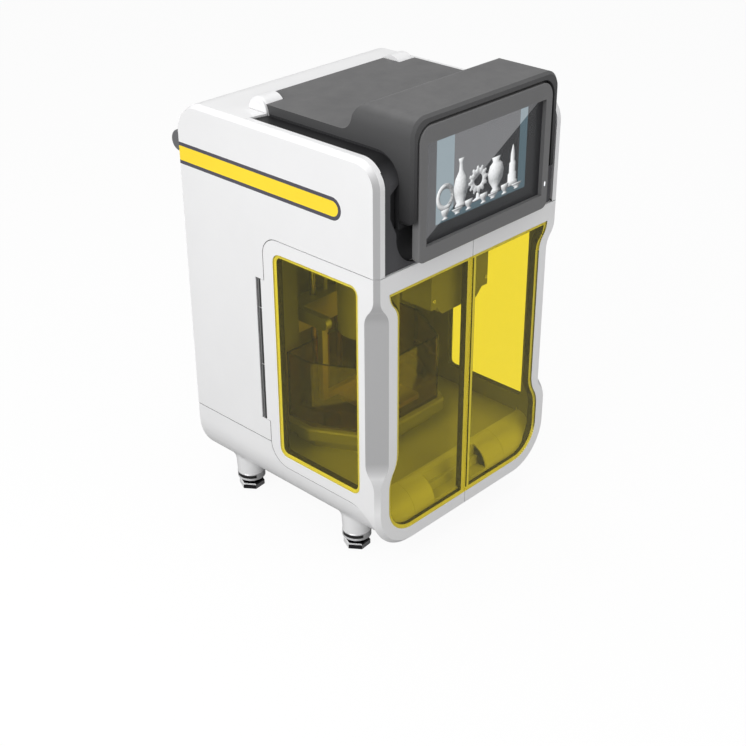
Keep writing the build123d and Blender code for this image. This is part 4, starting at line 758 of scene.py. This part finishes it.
class BuildDisplay(bpy.types.Operator):
    """Builds the display and the raised picture of plain ceramic ware on it"""

    bl_idname = "printer.build_display"
    bl_label = "Display"

    def execute(self, context):
        corner = [(math.cos(math.radians(a)), math.sin(math.radians(a))) for a in range(0, 91, 15)]
        plate = []
        low, high = DISPLAY_LEVELS
        middles = ((DISPLAY_HALF, high), (-DISPLAY_HALF, high), (-DISPLAY_HALF, low), (DISPLAY_HALF, low))
        for turn, (x, z) in enumerate(middles):
            for c, s in corner:
                for _ in range(turn):
                    c, s = -s, c
                plate.append((x + DISPLAY_CORNER * c, z + DISPLAY_CORNER * s))
        display = add_piece("display", slab(plate, DISPLAY_FRONT, DISPLAY_REAR), self.glow(), "hood")
        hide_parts("screen_panel")
        add_piece("picture", self.ware(), self.glaze(), "hood", angle=60)
        return {"FINISHED"}

    def between(self, tree, value, low, high):
        """1 between two heights or widths in millimetres, with a soft pixel at each end."""
        soft = 0.2
        first = spread(tree, value, (low - soft) * MM, (low + soft) * MM)
        return sums(tree, "MULTIPLY", first, spread(tree, value, (high + soft) * MM, (high - soft) * MM))

    def glow(self):
        """The background picture: panels of grey and pale blue in a dark border, split by a slanted line, with a
        painted sheen of reflected light above that line.
        """
        material, tree, out = blank_material("display picture and painted sheen")
        place = add(tree, "SeparateXYZ", {0: add(tree, "TexCoord").outputs["Object"]})
        x, z = place.outputs["X"], place.outputs["Z"]
        # The slanted line runs from the lower left corner of the screen opening to its upper right; above it lies the
        # painted sheen
        slope = sums(tree, "MULTIPLY", sums(tree, "ADD", x, SCREEN_WIDTH / 2 * MM), SCREEN_HEIGHT / SCREEN_WIDTH)
        rise = sums(tree, "SUBTRACT", sums(tree, "SUBTRACT", z, SCREEN_LOW * MM), slope)
        painted_sheen = spread(tree, rise, -0.0004, 0.0004)
        left, right = PICTURE_SIDES
        across = self.between(tree, x, left, right)
        inside = sums(tree, "MULTIPLY", across, self.between(tree, z, *PICTURE_LEVELS))
        left_bar = self.between(tree, x, left, LEFT_BAR_END)
        bars = sums(tree, "MAXIMUM", left_bar, self.between(tree, x, RIGHT_BAR_START, right))
        strip = self.between(tree, z, *STRIP_LEVELS)
        blue = sums(tree, "MAXIMUM", bars, strip)
        # Each tone comes twice: under the painted sheen and without it
        pale = blend_colours(tree, blue, (0.19, 0.19, 0.195), (0.31, 0.37, 0.40))
        deep = blend_colours(tree, blue, (0.026, 0.026, 0.028), (0.08, 0.128, 0.152))
        picture = blend_colours(tree, painted_sheen, deep, pale)
        border = blend_colours(tree, painted_sheen, (0.02, 0.02, 0.021), (0.12, 0.12, 0.124))
        whole = blend_colours(tree, inside, border, picture)
        grain = place_effect(tree, "Surface grain", Grains_per_metre=3000.0)
        seen = blend_colours(tree, sums(tree, "MULTIPLY", grain.outputs["Height"], 0.04), whole, (0.0, 0.0, 0.0))
        shader = add(
            tree, "BsdfPrincipled",
            {
                "Base Color": (0.01, 0.01, 0.01, 1), "Roughness": 0.35, "Specular IOR Level": 0.1,
                "Emission Color": seen, "Emission Strength": 1.0,
            },
        )
        tree.links.new(shader.outputs[0], out.inputs["Surface"])
        return material

    def glaze(self):
        """White ware, shaded by the tone kept at each point."""
        material, tree, out = blank_material("pictured ware")
        kept = add(tree, "Attribute", attribute_name="tone").outputs["Fac"]
        grain = place_effect(tree, "Surface grain", Grains_per_metre=350.0)
        mottled = sums(tree, "SUBTRACT", kept, sums(tree, "MULTIPLY", grain.outputs["Height"], 0.35), clamp=True)
        tone = blend_colours(tree, mottled, (0.10, 0.105, 0.11), (1.0, 1.0, 1.0))
        shader = add(
            tree, "BsdfPrincipled",
            {
                "Base Color": (0.02, 0.02, 0.02, 1), "Roughness": 0.4, "Specular IOR Level": 0.1,
                "Emission Color": tone, "Emission Strength": 1.0,
            },
        )
        tree.links.new(shader.outputs[0], out.inputs["Surface"])
        return material

    def ware(self):
        """Vases, a gear, a ring and cups, shaded in the round and then flattened on to the display."""
        bottle = [(0, 0), (14, 0), (15, 4), (11, 9), (17, 24), (19, 38), (15, 53), (6, 66), (5, 80), (8, 88), (0, 86)]
        jar = [(0, 0), (12, 0), (13, 3), (8, 9), (19, 24), (22, 38), (17, 52), (9, 58), (12, 66), (0, 64)]
        tower = [(0, 0), (15, 0), (15, 9), (12, 10), (12, 24), (9, 26), (9, 44), (6, 46), (6, 60), (2, 74), (0, 78)]
        cup = [(0, 0), (7, 0), (8, 2), (4, 4), (5, 6), (9, 11), (11, 18), (9, 19), (0, 15)]
        dish = [(0, 0), (6, 0), (7, 2), (5, 3), (13, 8), (15, 11), (0, 9)]
        foot = [(0, 0), (14, 0), (14, 3), (5, 6), (4, 14), (0, 15)]
        ring = [(20 + 5 * math.cos(a), 5 * math.sin(a)) for a in [math.tau * i / 12 for i in range(12)]]
        back = [(bottle, -58, 706), (foot, -12, 704), (jar, 36, 705), (tower, 82, 704)]
        front = [(cup, x, 694) for x in (-98, -36, 4, 62)] + [(dish, x, 695) for x in (-66, 30, 96)]
        parts = [(turned(rings), facing((x, 0, z))) for rings, x, z in back]
        parts += [(turned(rings), facing((x, -ROW_GAP, z))) for rings, x, z in front]
        parts.append((turned(ring, closed=True), facing((-98, 4, 735), (0.35, -1, 0.1))))
        parts.append((self.gear(), facing((-12, 0, 742), (0, -1, 0))))
        whole = gather(parts)
        bmesh.ops.recalc_face_normals(whole, faces=whole.faces)
        whole.normal_update()
        tone = whole.verts.layers.float.new("tone")
        light = Vector((-0.55, -0.6, 0.58))
        for vert in whole.verts:
            vert[tone] = 0.22 + 0.95 * max(0.0, vert.normal.dot(light))
            depth = vert.co.y / MM
            row = 1 if depth < -ROW_GAP / 2 else 0
            toward = max(-1.0, min(0.0, (depth + ROW_GAP * row) / DEEPEST_WARE))
            vert.co.y = (WARE_PLANE - ROW_STEP * row + WARE_RELIEF * toward) * MM
        return whole

    def gear(self, tip=26, root=21, hole=11, half=4, sides=72):
        """A gear wheel about Z, with its hole and a tooth for each six sides, in millimetres."""
        shape = bmesh.new()
        rows = []
        for level, wide in ((-half, False), (half, False), (half, True), (-half, True)):
            row = []
            for i in range(sides):
                angle = math.tau * i / sides
                reach = (tip if i % 6 < 3 else root) if wide else hole
                spot = (reach * math.cos(angle), reach * math.sin(angle), level)
                row.append(shape.verts.new([value * MM for value in spot]))
            rows.append(row)
        for row, following in zip(rows, rows[1:] + rows[:1]):
            for i in range(sides):
                j = (i + 1) % sides
                shape.faces.new((row[i], row[j], following[j], following[i]))
        return shape


class FinishChamber(bpy.types.Operator):
    """Finishes the chamber lining, sill, vat and the deck above"""

    bl_idname = "printer.finish_chamber"
    bl_label = "Chamber"

    def execute(self, context):
        hues = context.scene.printer_colours
        painted = solid_finish("chamber powder coat", hues.chamber, 0.5, grains=1100, depth=0.05, wear=0.3)
        wear_finish(["mid_frame", "chamber_back", "light_box", "lens_shroud", "vat_base"], painted)
        paler = lift(hues.chamber, 1.5)
        floor = solid_finish("chamber floor", paler, 0.35, grains=1100, depth=0.03, wear=0.3, coat=0.2)
        wear_finish(["chamber_floor"], floor)
        wear_finish(
            ["sill", "sill_cover"],
            solid_finish("chamber plastic", hues.chamber_plastic, 0.3, grains=1300, depth=0.02, coat=0.2),
        )
        wear_finish(["vat"], clear_finish("smoky acrylic", hues.acrylic, rough=0.03, rim=1.6))
        # Painted shade on the trench's upward faces and painted light on its other faces, both from one dark plastic
        darker = ("Painted top light and shade", {"Low": 0.0, "High": 0.01, "Sides": 0.0}, lift(hues.dark, 0.5))
        sides = lift(hues.dark, 2.5)
        trench = solid_finish("trench plastic with painted light and shade", sides, 0.5, depth=0.04, specular=0.2, dust=0.0, over=(darker,))
        wear_finish(["trench"], trench)
        inner = solid_finish("inner dark plastic", hues.dark, 0.5, grains=1500, depth=0.04, specular=0.2)
        wear_finish(["deck", "deck_hatch", "front_liner"], inner)
        return {"FINISHED"}


class FinishDrive(bpy.types.Operator):
    """Finishes the light engine, platform, guide rods and screws"""

    bl_idname = "printer.finish_drive"
    bl_label = "Drive and light engine"

    def execute(self, context):
        hues = context.scene.printer_colours
        wear_finish(
            ["projector", "z_brackets", "carriage", "platform_arm", "platform", "power_supply"],
            solid_finish("blasted aluminium", hues.cast, 0.42, metallic=0.9, grains=2200, depth=0.04, wear=0.3),
        )
        self.add_screw(hues)
        wear_finish(
            ["z_rods", "button_screws"],
            solid_finish("ground steel", hues.steel, 0.24, metallic=1.0, stretch=(1, 1, 80), depth=0.01, dust=0.0),
        )
        wear_finish(
            ["z_motor", "projection_lens"],
            solid_finish("anodised black", (0.02, 0.02, 0.022), 0.36, wear=0.4, worn=(0.25, 0.25, 0.25)),
        )
        parts = ("Past a level", {"From": 0.0979, "To": 0.0977}, (0.02, 0.02, 0.021))
        wear_finish(["control_board"], solid_finish("solder mask", hues.board, 0.3, depth=0.02, over=(parts,)))
        self.add_board_parts()
        wear_finish(
            ["fan_frame", "fan_rotor", "power_inlet", "power_switch", "switch_rocker"],
            solid_finish("moulded black", (0.018, 0.018, 0.02), 0.45, grains=1500, depth=0.04),
        )
        return {"FINISHED"}

    def add_screw(self, hues):
        """The lead screw with its thread and motor coupling."""
        steel = solid_finish("rolled screw", hues.steel, 0.3, metallic=1.0, depth=0.01, dust=0.0, wear=0.3)
        coupling = turned(
            [
                (0, 613), (10.4, 613), (11, 613.6), (11, 627), (9.6, 627.6),
                (9.6, 629.6), (11, 630.2), (11, 643.4), (10.4, 644), (0, 644),
            ]
        )
        thread = threaded(4.45, 5.0, 5, 147, 614, starts=2)
        parts = [(shape, facing(SCREW_AXIS)) for shape in (thread, coupling)]
        screw = add_piece("threaded_screw", gather(parts), steel, "screw")
        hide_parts("lead_screw")

    def add_board_parts(self):
        """Small parts and screws on the control board, on its face towards the chamber."""
        bright = solid_finish("tinned", (0.55, 0.55, 0.54), 0.35, metallic=1.0, depth=0.01, dust=0.0)
        can = turned([(0, 0), (5, 0), (5, 0.8), (4.6, 1.2), (5, 1.6), (5, 9.6), (4.4, 10), (0, 10)], sides=20)
        head = screw_head(3.2, 2.2, 1.5)
        cans = [(x, 300) for x in (150, 163, 176)] + [(x, 316) for x in (150, 163)]
        heads = [(x, z) for x in (128, 220) for z in (216, 394)]
        places = [(can, facing((x, BOARD_FACE, z), (0, -1, 0))) for x, z in cans]
        places += [(head, facing((x, BOARD_FACE, z), (0, -1, 0))) for x, z in heads]
        add_piece("board_parts", gather(places), bright, "cabinet")


class FinishFeet(bpy.types.Operator):
    """Finishes the levelling feet, their nuts and collars"""

    bl_idname = "printer.finish_feet"
    bl_label = "Feet"

    def execute(self, context):
        # The feet are near black with painted reflections laid over them; the collars carry a painted dark reflection
        # and painted shade
        polished = solid_finish(
            "polished feet with painted reflections", (0.008, 0.008, 0.009), 0.25, wear=0.12, worn=(0.4, 0.4, 0.4), depth=0.01, dust=0.0,
            over=(("Painted metal reflections", {"Floor": 0.0}, (0.9, 0.9, 0.9)),), metallic=0.2,
        )
        feet = ["foot_front_left", "foot_front_right", "foot_rear_left", "foot_rear_right"]
        wear_finish([*feet, "foot_nuts"], polished)
        wear_finish(
            ["foot_collars"],
            solid_finish(
                "bright collars with painted reflection", (0.86, 0.86, 0.87), 0.18, metallic=0.5, depth=0.004, wear=0.2, dust=0.0,
                over=(("Painted collar reflection", {}, (0.02, 0.02, 0.02)),),
            ),
        )
        for number, node in enumerate(feet, 1):
            low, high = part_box(node)
            middle = ((low.x + high.x) / 2 / MM, (low.y + high.y) / 2 / MM, 0)
            ridges = gather([(threaded(7.9, 8.25, 2, *STUD_SHOWN), facing(middle))])
            add_piece(f"foot_thread_{number}", ridges, polished, f"foot_{number}")
        return {"FINISHED"}


class BuildStudio(bpy.types.Operator):
    """Lays the floor, hangs the lamps and sets the camera at the photographed angle"""

    bl_idname = "printer.build_studio"
    bl_label = "Studio"

    def execute(self, context):
        studio = context.scene.printer_studio
        self.lay_floor(studio.floor_size)
        self.light(context, studio.sky)
        self.aim(context, studio)
        context.scene.view_settings.view_transform = "Standard"
        return {"FINISHED"}

    def lay_floor(self, side):
        """A pale floor that shows white to the camera and keeps the printer's shadow."""
        shape = bmesh.new()
        bmesh.ops.create_grid(shape, x_segments=4, y_segments=4, size=side / 2)
        mesh = bpy.data.meshes.new("studio_floor")
        shape.to_mesh(mesh)
        shape.free()
        floor = bpy.data.objects.new("studio_floor", mesh)
        bpy.context.scene.collection.objects.link(floor)
        material, tree, out = blank_material("studio floor")
        path = add(tree, "LightPath")
        seen = sums(tree, "MAXIMUM", path.outputs["Is Camera Ray"], path.outputs["Is Transmission Ray"])
        tone = blend_colours(tree, seen, (0.42, 0.42, 0.42), (0.9, 0.9, 0.9))
        matt = add(tree, "BsdfPrincipled", {"Base Color": tone, "Roughness": 0.9})
        white = add(tree, "Emission", {"Color": (1, 1, 1, 1), "Strength": 1.0})
        share = sums(tree, "MULTIPLY", seen, 0.93)
        mix = add(tree, "MixShader", {0: share, 1: matt.outputs[0], 2: white.outputs[0]})
        tree.links.new(mix.outputs[0], out.inputs["Surface"])
        mesh.materials.append(material)

    def light(self, context, sky):
        """Even sky, white to the camera, and soft lamps."""
        world = bpy.data.worlds.new("studio sky")
        world.use_nodes = True
        tree = world.node_tree
        tree.nodes.clear()
        path = add(tree, "LightPath")
        seen = sums(tree, "MAXIMUM", path.outputs["Is Camera Ray"], path.outputs["Is Transmission Ray"])
        even = add(tree, "Background", {"Color": (1, 1, 1, 1), "Strength": sky})
        white = add(tree, "Background", {"Color": (1, 1, 1, 1), "Strength": 1.0})
        mix = add(tree, "MixShader", {0: seen, 1: even.outputs[0], 2: white.outputs[0]})
        out = tree.nodes.new("ShaderNodeOutputWorld")
        tree.links.new(mix.outputs[0], out.inputs["Surface"])
        context.scene.world = world
        lamps = [
            ("left_lamp", (-2.6, -0.3, 1.9), 1.8, 51.0),
            ("top_lamp", (0.2, 0.3, 3.0), 2.2, 19.0),
            ("front_lamp", (0.9, -2.8, 1.5), 1.8, 18.0),
        ]
        middle = Vector((0, 0, 0.45))
        for name, place, side, power in lamps:
            data = bpy.data.lights.new(name, "AREA")
            data.shape = "SQUARE"
            data.size = side
            data.energy = power
            lamp = bpy.data.objects.new(name, data)
            lamp.location = place
            lamp.rotation_euler = (middle - Vector(place)).to_track_quat("-Z", "Y").to_euler()
            context.scene.collection.objects.link(lamp)

    def aim(self, context, studio):
        """The camera, from its place, azimuth, elevation and roll."""
        azimuth, elevation, roll = studio.turn
        back = Vector(
            (math.sin(azimuth) * math.cos(elevation), -math.cos(azimuth) * math.cos(elevation), math.sin(elevation))
        )
        level = Vector((math.cos(azimuth), math.sin(azimuth), 0))
        upright = back.cross(level)
        right = level * math.cos(roll) + upright * math.sin(roll)
        up = upright * math.cos(roll) - level * math.sin(roll)
        data = bpy.data.cameras.new("camera")
        data.lens = studio.lens
        data.sensor_width = 36
        data.clip_end = 30
        camera = bpy.data.objects.new("camera", data)
        turned = Matrix((right, up, back)).transposed().to_4x4()
        camera.matrix_world = Matrix.Translation(studio.eye) @ turned
        context.scene.collection.objects.link(camera)
        context.scene.camera = camera


STEPS = (FinishShell, FinishDoors, FinishHood, BuildDisplay, FinishChamber, FinishDrive, FinishFeet, BuildStudio)


class PrinterPanel(bpy.types.Panel):
    """Lists the printer's steps in the sidebar"""

    bl_idname = "VIEW3D_PT_printer"
    bl_label = "Ceramic printer"
    bl_space_type = "VIEW_3D"
    bl_region_type = "UI"
    bl_category = "Printer"

    def draw(self, context):
        for step in STEPS:
            self.layout.operator(step.bl_idname)
        for group in (context.scene.printer_colours, context.scene.printer_studio):
            for key in group.bl_rna.properties.keys():
                if key not in ("rna_type", "name"):
                    self.layout.prop(group, key)


CLASSES = (PrinterColours, PrinterStudio, *STEPS, PrinterPanel)


def register():
    for item in CLASSES:
        bpy.utils.register_class(item)
    bpy.types.Scene.printer_colours = PointerProperty(type=PrinterColours)
    bpy.types.Scene.printer_studio = PointerProperty(type=PrinterStudio)


def unregister():
    del bpy.types.Scene.printer_studio
    del bpy.types.Scene.printer_colours
    for item in reversed(CLASSES):
        bpy.utils.unregister_class(item)


def main():
    register()
    for step in STEPS:
        area, name = step.bl_idname.split(".")
        if getattr(getattr(bpy.ops, area), name)() != {"FINISHED"}:
            raise RuntimeError(f"{step.bl_label} did not finish")


if __name__ == "__main__":
    main()
